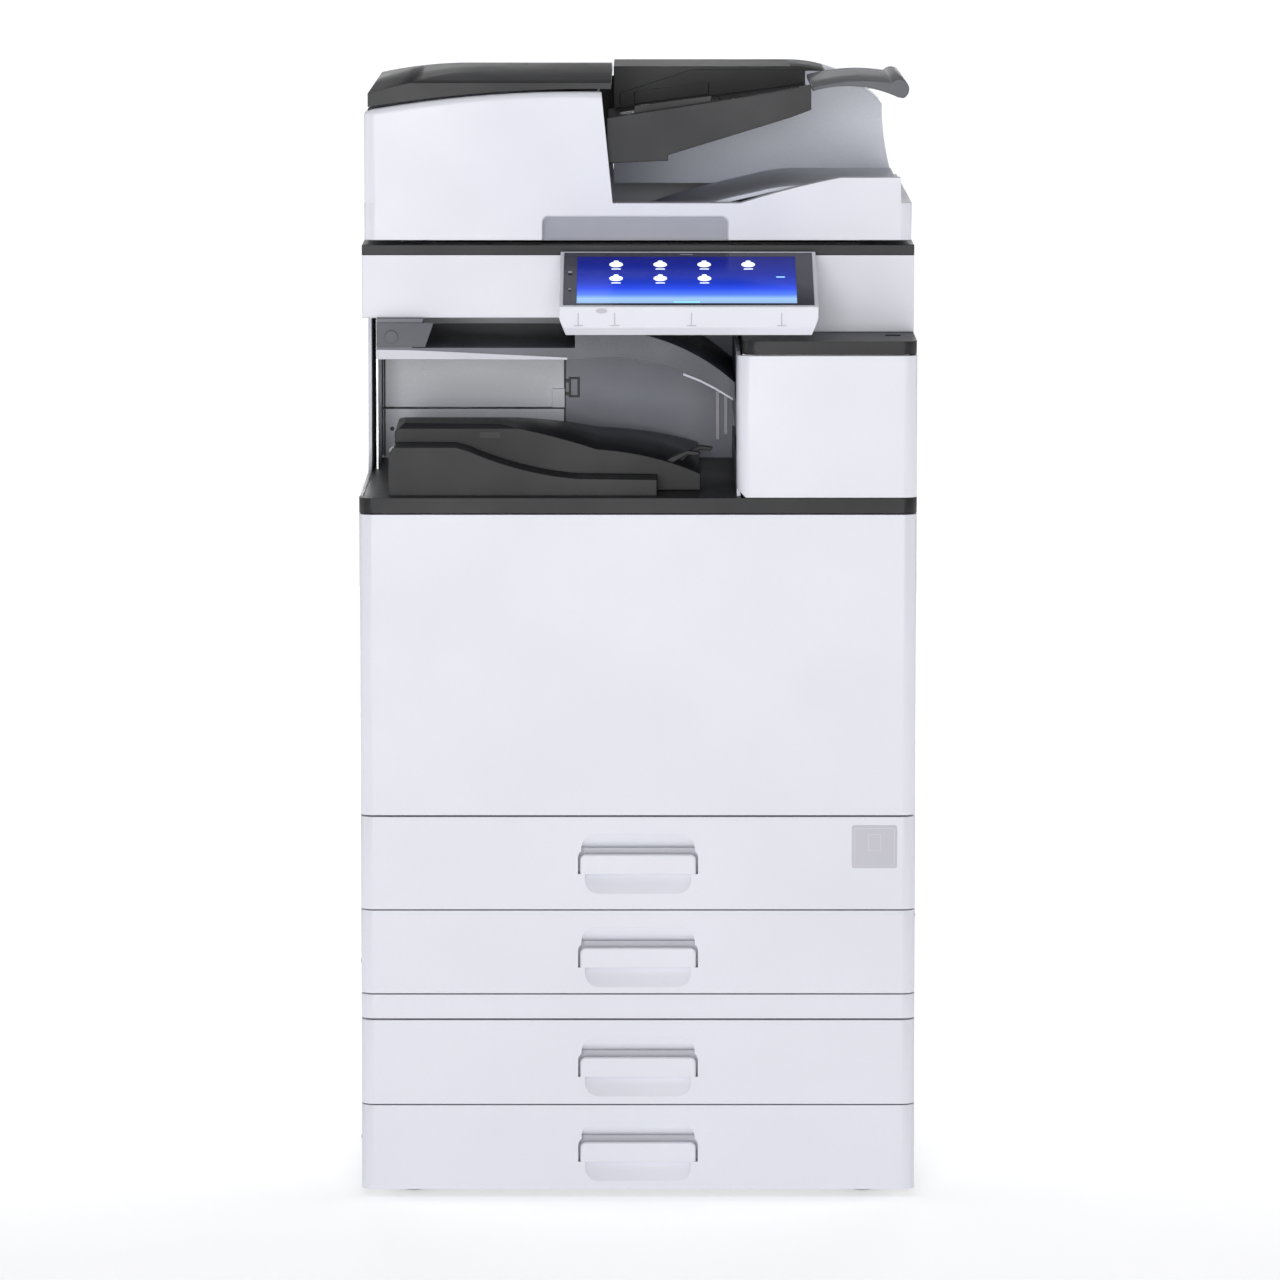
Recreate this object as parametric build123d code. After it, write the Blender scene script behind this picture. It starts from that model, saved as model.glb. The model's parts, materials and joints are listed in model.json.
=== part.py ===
"""A floor-standing A3 photocopier with a document feeder and a two-tray paper bank.

Millimetres. X runs to the right as seen from the front, Y runs from the front to the rear, Z is up.
The origin is on the floor, under the middle of the machine's outline. Depths are measured back from
the flat front faces of the trays and of the front door, and "depth" below always means that distance.
"""

from build123d import *

import math
import os

# ---- driving dimensions ------------------------------------------------------------------------
width = 587.0                    # over the side covers
overall_depth = 685.0            # from the panel's front edge to the rear cover
panel_overhang = 43.0            # how far the panel stands out past the front faces
wall = 4.0                       # moulded covers
skin = 3.0                       # moulded fronts and trays
sheet = 2.0                      # folded steel sheet
gap = 1.0                        # between neighbouring covers

foot_height = 11.0
foot_radius = 18.0
front_thickness = 22.0           # door and tray fronts, front to back
front_corner = 14.0              # radius of their vertical edges
cover_start = 27.0               # depth at which the side covers begin
frame_front = 30.0               # depth of the frame's front plates
frame_rear = 636.0
rear_inside = 638.0              # depth of the inner face of the rear cover
body_depth = 642.0               # depth of the outer face of the rear cover

tray_limits = {1: (313.0, 411.5), 2: (223.0, 311.5), 3: (104.0, 194.0), 4: (12.0, 102.5)}
strip_limits = (196.0, 221.5)    # fixed strip along the top of the paper bank
door_limits = (413.5, 732.5)
deck_limits = (734.0, 750.0)
column_limits = (750.5, 900.0)   # upper right cover
cap_top = 915.0
column_left = 104.0              # left face of the upper right column
cavity_depth = 430.0             # depth of the delivery cavity's rear wall
pillar_depth = 300.0             # depth of the left pillar's front edge

scanner_front = 120.0
scanner_bottom = 930.0           # over the cavity; over the column it rests on the cap
scanner_top = 997.0
platen_level = 1008.0
feeder_bottom = 1013.0
feeder_rear = 620.0
feeder_wall_top = 1052.0
feeder_half = 291.0
feeder_corner = 12.0
block_right = -27.0              # right end of the feeder's left block
crown = 1190.0                   # highest point, on the feeder's top cover
recess_x = (-102.0, 96.0)        # finger recess under the feeder's front
recess_top = 1039.0
feeder_hinge = (628.0, 1018.0)   # depth and height
hinge_centres = (-180.0, 180.0)
top_cover_hinge = (-284.0, 1160.0)
input_x = (-33.0, 184.0)         # input tray
input_depths = (140.0, 452.0)
input_slope = 0.132
input_low = 1134.0               # height of the input floor's left end
flap_hinge = (187.5, 1171.0)     # X and height
guide_x = (-4.0, 78.0)           # side guides
guide_feet = {"front": (152.0, 190.0), "rear": (412.0, 450.0)}
guide_height = 15.0
feed_roller_axis = (-72.0, 1142.0)

glass_depths = (165.0, 475.0)
glass_thickness = 4.0
platen_x = (-218.0, 232.0)
slit_x = (-253.0, -230.0)        # narrow glass that the feeder scans through
carriage_depths = (136.0, 626.0)

panel_x = (-82.0, 188.0)         # tilting control panel
panel_rear = 106.0
panel_front_top = 955.0
panel_slope = 17.5               # degrees
panel_thickness = 31.0
panel_pivot = (104.0, 962.0)     # depth and height
pivot_radius = 4.0
running_clearance = 0.08
knuckles = ((9.0, 30.0), (80.0, 101.0))
knuckle_radius = 7.0
bracket_x = (0.0, 110.0)
bezel_margin = 4.0
bezel_depth = 3.0
screen_margins = (18.0, 22.0)    # at the left and right of the screen, inside the panel's sides

pan_x = (-255.0, 225.0)          # paper pans
pan_depth = 460.0
pan_height = 60.0
plate_hinge_x = -60.0            # axis of the lift plates
grip_half = 61.5
grip_thickness = 7.0
grip_height = 21.0               # of the bar that covers the finger pocket
grip_drop = 40.0                 # from the tray front's top edge to the grip's top edge
grip_corner = 6.0
side_gap = 2.0                   # dark line at each end of the grip
finger_gap = 5.0                 # clear height above the grip
pocket_depth = 19.0
scoop_height = 23.0              # hollow above the grip
scoop_half = 60.0
dip_half = 56.0                  # hollow under the grip
dip_height = 21.0
dip_depth = 6.5

drum_axis = (180.0, 540.0)       # axes of the print engine: X and height
drum_radius = 30.0
roller_radius = 16.0
roller_gap = 0.3
hot_axis = (204.0, 650.0)
exit_axis = (119.0, 799.0)
exit_shaft = 4.0
exit_slot = (786.0, 812.0)
shaft_radius = 5.0
toner_axis = (-150.0, 643.0)
toner_radius = 44.0
engine_plates = ((52.0, 55.0), (402.0, 405.0))

side_door_depths = (27.0, 478.0)
side_hinge_depth = 476.0
side_hinge_x = 291.5
bypass_depths = (90.0, 410.0)
bypass_limits = (480.0, 640.0)
bypass_thickness = 7.5

inlet_x = (-250.0, -160.0)
inlet_z = (45.0, 93.0)
socket_x = (-240.0, -215.5)
socket_z = (60.0, 77.0)
rocker_centre = (-182.0, 634.0, 69.0)
rocker_half = (10.0, 13.0)
rocker_lean = 7.0                # degrees

# ---- derived places ----------------------------------------------------------------------------
half = width / 2
front_y = panel_overhang - overall_depth / 2
panel_rise = math.tan(math.radians(panel_slope))
pressure_axis = (hot_axis[0] + 2 * roller_radius + roller_gap, hot_axis[1])
roller_depths = (engine_plates[0][1] + 7.0, engine_plates[1][0] - 8.0)


# ---- shape helpers -----------------------------------------------------------------------------
def block(x, depth, z):
    """A box between pairs of limits in x, depth and z."""
    size = [limits[1] - limits[0] for limits in (x, depth, z)]
    middle = [sum(limits) / 2 for limits in (x, depth, z)]
    return Pos(middle[0], front_y + middle[1], middle[2]) * Box(*size)


def across(outline, depth):
    """A prism of an X-Z outline (edges or corner points) between two depths."""
    face = flat_face(outline, lambda x, z: (x, front_y + depth[0], z))
    return extrude(face, depth[1] - depth[0], dir=(0, 1, 0))


def along(outline, x):
    """A prism of a depth-Z outline (edges or corner points) between two values of X."""
    face = flat_face(outline, lambda depth, z: (x[0], front_y + depth, z))
    return extrude(face, x[1] - x[0], dir=(1, 0, 0))


def flat_face(outline, place):
    """The face inside a closed outline. Each item is a corner, or an arc's (via, end) corners."""
    edges = []
    start = outline[0]
    for item in outline[1:]:
        if isinstance(item[0], tuple):
            via, end = item
            edges.append(ThreePointArc(place(*start), place(*via), place(*end)))
        else:
            end = item
            edges.append(Line(place(*start), place(*end)))
        start = end
    if start != outline[0]:
        edges.append(Line(place(*start), place(*outline[0])))
    return make_face(edges)


def rod(x, z, radius, depth):
    """A round bar that runs from front to rear."""
    length = depth[1] - depth[0]
    centre = Location((x, front_y + sum(depth) / 2, z), (90, 0, 0))
    return centre * Cylinder(radius, length)


def cross_rod(depth, z, radius, x):
    """A round bar that runs from left to right."""
    centre = Location((sum(x) / 2, front_y + depth, z), (0, 90, 0))
    return centre * Cylinder(radius, x[1] - x[0])


def rounded_front(z, depth=(0.0, front_thickness), x=(-half, half)):
    """A full-width bar whose front vertical edges are rounded."""
    bar = block(x, depth, z)
    return fillet(bar.edges().filter_by(Axis.Z).group_by(Axis.Y)[0], front_corner)


def group(*solids):
    """Separate solids kept in one node."""
    return Compound(children=list(solids))


# ---- frame and feet ----------------------------------------------------------------------------
def base_frame():
    """Welded sheet-metal plates with a pair of rails for each tray."""
    outer = half - 2 * wall - 0.5
    inner = outer - sheet
    ceiling = deck_limits[0] - sheet
    floor_top = foot_height + 2 * sheet
    column_top = column_limits[1] - 3.0
    rear_start = 110.0
    side = (frame_front, frame_rear)
    behind_front = (frame_front + sheet, frame_rear - sheet)
    plates = [
        block((-outer, outer), side, (foot_height, floor_top)),
        block((-outer, -inner), side, (floor_top, ceiling)),
        block((-inner, outer), (frame_rear - sheet, frame_rear), (rear_start, ceiling)),
        block((inner, outer), (486.0, frame_rear - sheet), (floor_top, ceiling)),
        block((-inner, pan_x[0] - 2.0), (frame_front, behind_front[0]), (floor_top, ceiling)),
        block((pan_x[1] + 3.0, 270.0), (frame_front, behind_front[0]), (floor_top, ceiling)),
        block((-inner, pan_x[1] + 1.0), behind_front, (206.0, 206.0 + sheet)),
        block((-inner, pan_x[1] + 1.0), behind_front, (416.0, 416.0 + sheet)),
        block((-outer, outer), side, (ceiling, deck_limits[0])),
        block((-outer, -inner), (pillar_depth + 5.0, frame_rear), (deck_limits[1], scanner_bottom)),
        block((inner, outer), side, (deck_limits[1], column_top)),
        block((-inner, inner), (frame_rear - sheet, frame_rear), (deck_limits[1], column_top)),
        block((110.0, outer), side, (column_top, column_limits[1] + gap)),
        block((-outer, outer), (frame_rear - 40.0, frame_rear), (deck_limits[0], deck_limits[1])),
        block((-inner, -104.0), (60.0, frame_rear - sheet), (592.0, 596.0)),
    ]
    rail_gap = 1.5
    for bottom, _ in tray_limits.values():
        level = (bottom + 32.0, bottom + 38.0)
        plates.append(block((-inner, pan_x[0] - rail_gap), (behind_front[0], 480.0), level))
        plates.append(block((pan_x[1] + rail_gap, pan_x[1] + rail_gap + 6.0), behind_front, level))
    return group(*plates)


def rubber_feet():
    """Four round feet near the corners."""
    foot = Pos(0.0, front_y, foot_height / 2) * Cylinder(foot_radius, foot_height)
    return group(*[Pos(x, depth, 0.0) * foot for x in (-240.0, 240.0) for depth in (75.0, 590.0)])


# ---- outer covers ------------------------------------------------------------------------------
def left_cover():
    """The bank's cover, and the main cover that rises into the pillar under the scanner."""
    sheet_x = (-half, -half + wall)
    bank = block(sheet_x, (cover_start, rear_inside), (14.0, strip_limits[1]))
    shoulder = deck_limits[1] + 25.0
    outline = [
        (cover_start, strip_limits[1] + gap),
        (rear_inside, strip_limits[1] + gap),
        (rear_inside, scanner_bottom - gap),
        (pillar_depth, scanner_bottom - gap),
        (pillar_depth, shoulder),
        ((pillar_depth - 7.3, deck_limits[1] + 7.3), (pillar_depth - 25.0, deck_limits[1])),
        (cover_start, deck_limits[1]),
    ]
    return group(bank, along(outline, sheet_x))


def right_cover():
    """The plate beside trays 1 and 2, the sill below the bank's door, and the rear strip."""
    sheet_x = (half - wall, half)
    beside_trays = block(sheet_x, (cover_start, 478.0), (200.0, door_limits[0] - 1.5))
    sill = block(sheet_x, (cover_start, 478.0), (14.0, 28.0))
    rear_strip = block(sheet_x, (481.5, rear_inside), (14.0, deck_limits[1] - 1.0))
    return group(beside_trays, sill, rear_strip)


def rear_cover():
    """The upper plate with two banks of air slots, and the lower plate around the mains inlet."""
    plate_x = (-half + wall, half - wall)
    thickness = (rear_inside, body_depth)
    upper = block(plate_x, thickness, (120.0, column_limits[1]))
    for column in (-180.0, 60.0):
        for row in range(9):
            level = 640.0 + 11.0 * row
            upper -= block((column, column + 110.0), thickness, (level, level + 4.0))
    lower = block(plate_x, thickness, (14.0, 119.0))
    lower -= block((-251.0, -159.0), thickness, (44.0, 94.0))
    return group(upper, lower)


def bank_front_strip():
    """Fixed strip between the second and the third tray."""
    return rounded_front(strip_limits)


def deck_cover():
    """Dark floor of the delivery cavity, with a full-width lip across the front."""
    lip = rounded_front(deck_limits, depth=(0.0, cover_start - gap))
    floor = block((-half + wall + 0.5, half), (cover_start - gap, cavity_depth), deck_limits)
    underside = block((-half + 3 * wall, half - 2 * wall), (2 * wall, cavity_depth - wall),
                      (deck_limits[0], deck_limits[1] - wall))
    return lip + floor - underside


def upper_right_cover():
    """Shell in front of and beside the upper right column, with its lower left corner cut off."""
    shell = block((column_left, half), (0.0, rear_inside), column_limits)
    shell = fillet(shell.edges().filter_by(Axis.Z).group_by(Axis.Y)[0], front_corner)
    inside = block((column_left + wall, half - wall), (wall, rear_inside), column_limits)
    shell -= fillet(inside.edges().filter_by(Axis.Z).group_by(Axis.Y)[0], front_corner - wall)
    shell -= block((column_left, column_left + wall), (60.0, rear_inside), column_limits)
    low, left, cut = column_limits[0], column_left, 9.0
    corner = across([(left, low), (left + cut, low), (left, low + cut)], (0.0, wall + 10.0))
    return shell - corner


def upper_right_cap():
    """Dark plate between the upper right column and the scanner."""
    levels = (column_limits[1] + 1.0, cap_top)
    plate = block((column_left + 6.0, half - 0.5), (3.0, frame_rear), levels)
    plate = fillet(plate.edges().filter_by(Axis.Z).group_by(Axis.Y)[0], front_corner)
    return plate - block((262.0, 278.0), (70.0, 90.0), (cap_top - 3.0, cap_top))


# ---- delivery cavity ---------------------------------------------------------------------------
def exit_tray():
    """Two dark steps that are high at the left and sink to the right, where the paper comes out."""
    floor = deck_limits[1]
    ledge = across(
        [
            (-263.0, floor), (20.0, floor), (20.0, 767.0), (-65.0, 768.0),
            ((-125.0, 778.5), (-178.0, 797.0)), (-192.0, 801.0), (-257.0, 801.0), (-263.0, 795.0),
        ],
        (27.0, 80.0),
    )
    hump = across(
        [
            (-258.0, floor), (66.0, floor), (66.0, 768.0), ((20.0, 784.0), (-43.0, 794.0)),
            ((-95.0, 809.0), (-146.0, 820.0)), (-248.0, 821.0), (-258.0, 812.0),
        ],
        (80.0, cavity_depth - 2.0),
    )
    fall_to_rear = along(
        [
            (80.0, floor), (cavity_depth - 2.0, floor), (cavity_depth - 2.0, 766.0),
            ((270.0, 806.0), (150.0, 821.0)), (90.0, 821.0), (80.0, 816.0),
        ],
        (-260.0, 70.0),
    )
    steps = ledge + (hump & fall_to_rear)
    inside_depths = (27.0 + wall, cavity_depth - 2.0 - wall)
    inside = block((-259.0 + wall, 66.0 - wall), inside_depths, (floor, 821.0))
    return steps - (Pos(0, wall, -wall) * steps & inside)


def cavity_rear_panel():
    """Light panel at the back of the cavity: a lower and an upper plate, with a small latch."""
    right = -81.0
    seam = 805.0
    x = (-282.0, right)
    thickness = (cavity_depth, cavity_depth + wall)
    lower = block(x, thickness, (deck_limits[1], seam - 1.0))
    upper = block(x, thickness, (seam + 1.0, scanner_bottom))
    latch = block((right - 14.0, right), (cavity_depth - 6.0, cavity_depth), (seam + 1.0, seam + 22.0))
    return group(lower, upper, latch)


def exit_guides():
    """Dark right-hand part of the cavity's rear wall, and the column wall with the exit slot."""
    wall_x = (column_left, column_left + wall)
    ends = ((61.0, 72.0), (cavity_depth - 12.0, cavity_depth))
    top = column_limits[1]
    rear_depths = (cavity_depth, cavity_depth + wall)
    rear = block((-80.0, column_left + wall), rear_depths, (deck_limits[1], top))
    guide = across([(-6.0, 868.0), (50.0, 868.0), (42.0, 854.0), (2.0, 854.0)], (410.0, cavity_depth))
    solids = [
        rear,
        guide,
        block(wall_x, (61.0, cavity_depth), (deck_limits[1], exit_slot[0])),
        block(wall_x, (61.0, cavity_depth), (exit_slot[1], top)),
        *[block(wall_x, end, exit_slot) for end in ends],
    ]
    bore = rod(*exit_axis, exit_shaft + running_clearance, (60.0, cavity_depth))
    for end in ends:
        solids.append(block((wall_x[1], exit_axis[0] + 10.0), end, exit_slot) - bore)
    return group(*solids)


def one_bin_tray():
    """Upper delivery tray that hangs under the scanner, with the curved duct that feeds it."""
    depth = (110.0, cavity_depth - 2.0)
    right = column_left - 1.0
    mouth = -62.0
    tray = across(
        [
            (-278.0, 888.0), (mouth, 887.0), ((28.0, 881.0), (right, 842.0)), (right, 862.0),
            ((32.0, 905.0), (mouth, 918.0)), (mouth - 5.0, 916.0), (mouth - 5.0, 899.0),
            (-278.0, 899.0),
        ],
        depth,
    )
    hanger = across(
        [(-278.0, 899.0), (-240.0, 899.0), (-228.0, scanner_bottom), (-278.0, scanner_bottom)], depth)
    boss = rod(-262.0, 912.0, 6.0, (107.0, 110.0))
    return tray + hanger + boss


# ---- scanner -----------------------------------------------------------------------------------
def scanner_case():
    """Open tub that holds the scanning carriages. Its right end reaches down to the column's cap."""
    outline = [
        (-half, scanner_bottom), (column_left, scanner_bottom), (column_left, cap_top),
        (half, cap_top), (half, scanner_top), (-half, scanner_top),
    ]
    case = across(outline, (scanner_front, body_depth))
    inside = (scanner_front + wall, body_depth - wall)
    case -= block((-half + wall, half - wall), inside, (scanner_bottom + 6.0, scanner_top))
    skirt = block((column_left + wall, half - wall), inside, (cap_top, scanner_bottom))
    return case - skirt


def glass_pane(x):
    """One pane, flush with the surround."""
    return block(x, glass_depths, (platen_level - glass_thickness, platen_level))


def scanner_top_frame():
    """Flat surround with rebates for the platen glass and the narrow feeder glass."""
    rest = 6.0
    frame = block((-half, half), (scanner_front, body_depth), (scanner_top, platen_level))
    for x in (platen_x, slit_x):
        frame -= glass_pane(x)
        ledge = min(rest, (x[1] - x[0]) / 4)
        opening_depths = (glass_depths[0] + rest, glass_depths[1] - rest)
        frame -= block((x[0] + ledge, x[1] - ledge), opening_depths, (scanner_top, platen_level))
    return frame


def scan_glass():
    """The platen glass and the narrow feeder glass."""
    return group(glass_pane(platen_x), glass_pane(slit_x))


def scanner_carriage():
    """Full-rate carriage with the lamp channel on top."""
    body = across([(-258.0, 944.0), (-224.0, 944.0), (-224.0, 990.0), (-258.0, 972.0)], carriage_depths)
    channel = block((-246.0, -236.0), (160.0, 480.0), (968.0, 992.0))
    return body - channel


def mirror_carriage():
    """Half-rate carriage with the two folding mirrors, on the left of the other one."""
    outline = [(-288.0, 944.0), (-263.0, 944.0), (-275.0, 958.0), (-263.0, 972.0), (-288.0, 972.0)]
    return across(outline, carriage_depths)


# ---- control panel -----------------------------------------------------------------------------
def panel_top(depth):
    """Height of the panel's sloping top face."""
    return panel_front_top + (depth + panel_overhang) * panel_rise


def panel_housing():
    """Sloping slab with a full front face, cut-off lower corners and two hinge knuckles."""
    front = -panel_overhang
    slab = along(
        [
            (front, panel_front_top),
            (front + 4.0, panel_front_top - 22.0),
            (front + 16.0, panel_front_top - 31.0),
            (panel_rear, panel_top(panel_rear) - panel_thickness),
            (panel_rear, panel_top(panel_rear)),
        ],
        panel_x,
    )
    low = panel_front_top - 40.0
    for side, inward in ((panel_x[0], 1.0), (panel_x[1], -1.0)):
        wedge = [(side, low), (side + 10.0 * inward, low), (side, panel_front_top - 13.0)]
        slab -= across(wedge, (front, panel_rear))
    slab -= screen_recess(bezel_margin, bezel_depth, overlap=1.0)
    hollow = along(
        [
            (front + 6.0, panel_front_top - 12.0),
            (front + 20.0, panel_front_top - 26.0),
            (panel_rear - 3.0, panel_top(panel_rear) - panel_thickness + 3.0),
            (panel_rear - 3.0, panel_top(panel_rear) - 12.0),
        ],
        (panel_x[0] + 26.0, panel_x[1] - 26.0),
    )
    slab -= hollow
    bore = cross_rod(*panel_pivot, pivot_radius + running_clearance, bracket_x)
    for x in knuckles:
        lug = cross_rod(*panel_pivot, knuckle_radius, x)
        neck_depths = (panel_pivot[0] - knuckle_radius, panel_rear)
        neck = block(x, neck_depths, (panel_pivot[1], panel_pivot[1] + 9.0))
        slab += lug + neck
    return slab - bore


def sloped_plate(x, depths, below, thickness):
    """A thin plate parallel to the panel's top face, its upper side that far below it."""
    upper = [(depth, panel_top(depth) - below) for depth in depths]
    lower = [(depth, z - thickness) for depth, z in reversed(upper)]
    return along(upper + lower, x)


def screen_recess(margin, depth, overlap=0.0):
    """Space under the panel's top face that the bezel fills."""
    x = (panel_x[0] + margin, panel_x[1] - margin)
    ends = (-panel_overhang + 5.0, panel_rear - 3.0)
    return sloped_plate(x, ends, -overlap, depth + overlap)


def screen_area():
    """Limits of the screen in X and in depth."""
    x = (panel_x[0] + screen_margins[0], panel_x[1] - screen_margins[1])
    return x, (-panel_overhang + 10.0, panel_rear - 14.0)


def panel_bezel():
    """Dark frame, flush with the housing, around the screen."""
    x, ends = screen_area()
    return screen_recess(bezel_margin, bezel_depth) - sloped_plate(x, ends, 0.0, 1.6)


def panel_screen():
    """Display pane, a little below the bezel's face."""
    x, ends = screen_area()
    return sloped_plate(x, ends, 0.2, 1.4)


def panel_bracket():
    """Fixed arm on the scanner's front, with two ears and the hinge pin between them."""
    pivot_depth, pivot_z = panel_pivot
    arm = block(bracket_x, (84.0, scanner_front), (934.0, 950.0))
    for x in ((bracket_x[0], bracket_x[0] + 8.0), (bracket_x[1] - 8.0, bracket_x[1])):
        arm += cross_rod(pivot_depth, pivot_z, knuckle_radius, x)
        arm += block(x, (pivot_depth - knuckle_radius, pivot_depth + knuckle_radius), (950.0, pivot_z))
    return arm + cross_rod(pivot_depth, pivot_z, pivot_radius, bracket_x)


# ---- document feeder ---------------------------------------------------------------------------
def adf_base():
    """Tub under the feeder with a finger recess along its front, and two hinge lugs at the rear."""
    front = scanner_front + gap
    walls = (feeder_bottom, feeder_wall_top)
    tub = block((-feeder_half, feeder_half), (front, feeder_rear), walls)
    tub = fillet(tub.edges().filter_by(Axis.Z).group_by(Axis.Y)[0], feeder_corner)
    front_bar = 147.0
    rise_right = feeder_half - feeder_corner
    rise_top = 1079.0
    tub += across(
        [
            (109.0, feeder_wall_top), (rise_right, feeder_wall_top), (rise_right, rise_top),
            (215.0, rise_top), ((165.0, 1068.0), (109.0, feeder_wall_top)),
        ],
        (front, front_bar),
    )
    hollow_x = (-feeder_half + wall, feeder_half - 19.0)
    tub -= block(hollow_x, (front_bar, feeder_rear - wall), (feeder_bottom + 6.0, feeder_wall_top))
    recess = block(recess_x, (scanner_front, scanner_front + 20.0), (feeder_bottom, recess_top))
    tub -= fillet(recess.edges().filter_by(Axis.Y).group_by(Axis.Z)[-1], 7.0)
    depth, z = feeder_hinge
    for centre in hinge_centres:
        x = (centre - 9.7, centre + 9.7)
        lug = cross_rod(depth, z, 7.0, x) + block(x, (feeder_rear - wall, depth), (z - 5.0, z + 7.0))
        tub += lug - cross_rod(depth, z, pivot_radius + running_clearance, x)
    return tub


def adf_hinge_brackets():
    """Two U-shaped brackets on the scanner's top, each with its pin."""
    depth, z = feeder_hinge
    outer, inner = 15.0, 10.2
    ear = 6.5
    brackets = []
    for centre in hinge_centres:
        full = (centre - outer, centre + outer)
        bracket = block(full, (depth - ear, depth + 8.0), (platen_level, platen_level + sheet))
        for x in ((full[0], centre - inner), (centre + inner, full[1])):
            bracket += cross_rod(depth, z, ear, x)
            bracket += block(x, (depth - ear, depth + ear), (platen_level, z))
        brackets.append(bracket + cross_rod(depth, z, pivot_radius, full))
    return group(*brackets)


def adf_left_cover():
    """Front, left and rear walls of the feeder's left block."""
    outline = [
        (-feeder_half, 1150.0), ((-195.0, 1163.5), (block_right - 12.0, 1170.0)),
        (block_right, feeder_wall_top), (-feeder_half, feeder_wall_top),
    ]
    shell = across(outline, (scanner_front + 1.0, feeder_rear))
    front_edges = shell.edges().group_by(Axis.Y)[0]
    shell = fillet(front_edges.filter_by(Axis.Z).sort_by(Axis.X)[0], feeder_corner)
    shell = fillet(shell.edges().group_by(Axis.Y)[0].sort_by(Axis.Z)[-1], 7.0)
    inside_depths = (scanner_front + 7.0, feeder_rear - wall)
    return shell - block((-feeder_half + wall, 0.0), inside_depths, (feeder_wall_top, crown))


def adf_top_cover():
    """Crowned dark lid of the left block."""
    left, right = top_cover_hinge[0] - 3.0, block_right - 1.5
    front, rear = scanner_front + 11.0, feeder_rear - 14.0
    side_profile = across(
        [(left, 1153.5), (left, 1168.0), ((-215.0, 1184.0), (-146.0, crown)), (right, crown),
         (right, 1172.5), ((-190.0, 1166.0), (left, 1153.5))],
        (front, rear),
    )
    length_profile = along(
        [(front, 1150.0), (front, 1179.0), ((260.0, crown - 1.5), (rear, 1166.0)), (rear, 1150.0)],
        (left, right),
    )
    inner = across(
        [(left + 12.0, 1150.0), (right - wall, 1150.0), (right - wall, 1174.0), (left + 50.0, 1168.0)],
        (front + 9.0, rear - 10.0),
    )
    return (side_profile & length_profile) - inner


def adf_rear_housing():
    """Closed rear part of the feeder, behind the paper trays, waisted at its right end."""
    left, top = block_right, 1181.0
    outline = [
        (left, feeder_wall_top), (feeder_half - 8.0, feeder_wall_top),
        ((feeder_half - 18.0, 1092.0), (feeder_half - 22.0, 1140.0)), ((225.0, 1169.3), (168.0, top)),
        (left, top),
    ]
    inside = [
        (left + wall, feeder_wall_top), (feeder_half - 13.0, feeder_wall_top),
        ((feeder_half - 23.0, 1092.0), (feeder_half - 27.0, 1136.0)), (162.0, top - wall),
        (left + wall, top - wall),
    ]
    housing = across(outline, (455.0, feeder_rear - gap))
    return housing - across(inside, (455.0 + wall, feeder_rear - gap - wall))


def adf_output_ramp():
    """Bent plate that catches the scanned sheets: low under the feeder, high and flat at the right."""
    left, right = block_right + skin, feeder_half - 12.0
    low, high = 1026.0, 1069.0
    return across(
        [
            (left, low), (10.0, low), ((72.0, 1045.0), (130.0, 1059.0)),
            ((152.0, 1063.8), (176.0, high - wall)),
            (right - wall, high - wall), (right - wall, feeder_wall_top), (right, feeder_wall_top),
            (right, high), (174.0, high), ((150.0, 1067.5), (128.0, 1063.0)),
            ((70.0, 1049.0), (9.0, low + wall)), (left, low + wall),
        ],
        (147.5, 454.0),
    )


def platen_cushion():
    """Foam pad that holds an original flat on the glass."""
    return block((-226.0, 238.0), (158.0, 482.0), (platen_level + 1.0, feeder_bottom))


def input_floor(x):
    """Height of the input tray's sloping floor."""
    return input_low + (x - input_x[0]) * input_slope


def adf_input_tray():
    """Sloping floor with a deep tapering wall along the front and a fence along the rear."""
    left, right = input_x
    wall_outline = [
        (left, 1093.5), (32.0, 1096.0), (32.0, 1102.0), (161.0, 1141.5), (right, 1150.0),
        (right, 1177.0), (145.0, 1169.0), (66.0, 1156.5), (left, 1141.5),
    ]
    front_wall = across(wall_outline, (input_depths[0], input_depths[0] + 5.0))
    fence_outline = [
        (-20.0, input_floor(-20.0)), (right, input_floor(right)), (right, 1178.0), (60.0, 1178.0),
        (-20.0, 1152.0),
    ]
    rear_fence = across(fence_outline, (input_depths[1] - 1.5, input_depths[1] + 1.5))
    upper = [(left, input_floor(left)), (right, input_floor(right))]
    lower = [(x, z - 5.0) for x, z in reversed(upper)]
    return front_wall + across(upper + lower, input_depths) + rear_fence


def adf_tray_extension():
    """Curved flap that carries on from the input tray and ends in a rounded, drooping nose."""
    x, z = flap_hinge
    tip = feeder_half
    return across(
        [
            (x - 1.5, z + 1.5), ((x + 41.0, z + 8.5), (tip - 21.0, z + 6.5)),
            ((tip - 2.0, z), (tip - 8.0, z - 10.0)), (tip - 14.0, z - 9.0),
            ((x + 46.0, z + 2.5), (x - 1.5, z - 2.5)),
        ],
        (165.0, 450.0),
    )


def adf_side_guide(side):
    """Upright fence with a flat foot that slides on the tray's floor."""
    near, far = guide_feet[side]
    upright = (near, near + skin) if side == "front" else (far - skin, far)
    base = [(x, input_floor(x) + 0.5) for x in guide_x]
    foot = base + [(x, z + 2.0) for x, z in reversed(base)]
    fence = base + [(x, z + guide_height) for x, z in reversed(base)]
    return across(foot, (near, far)) + across(fence, upright)


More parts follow.
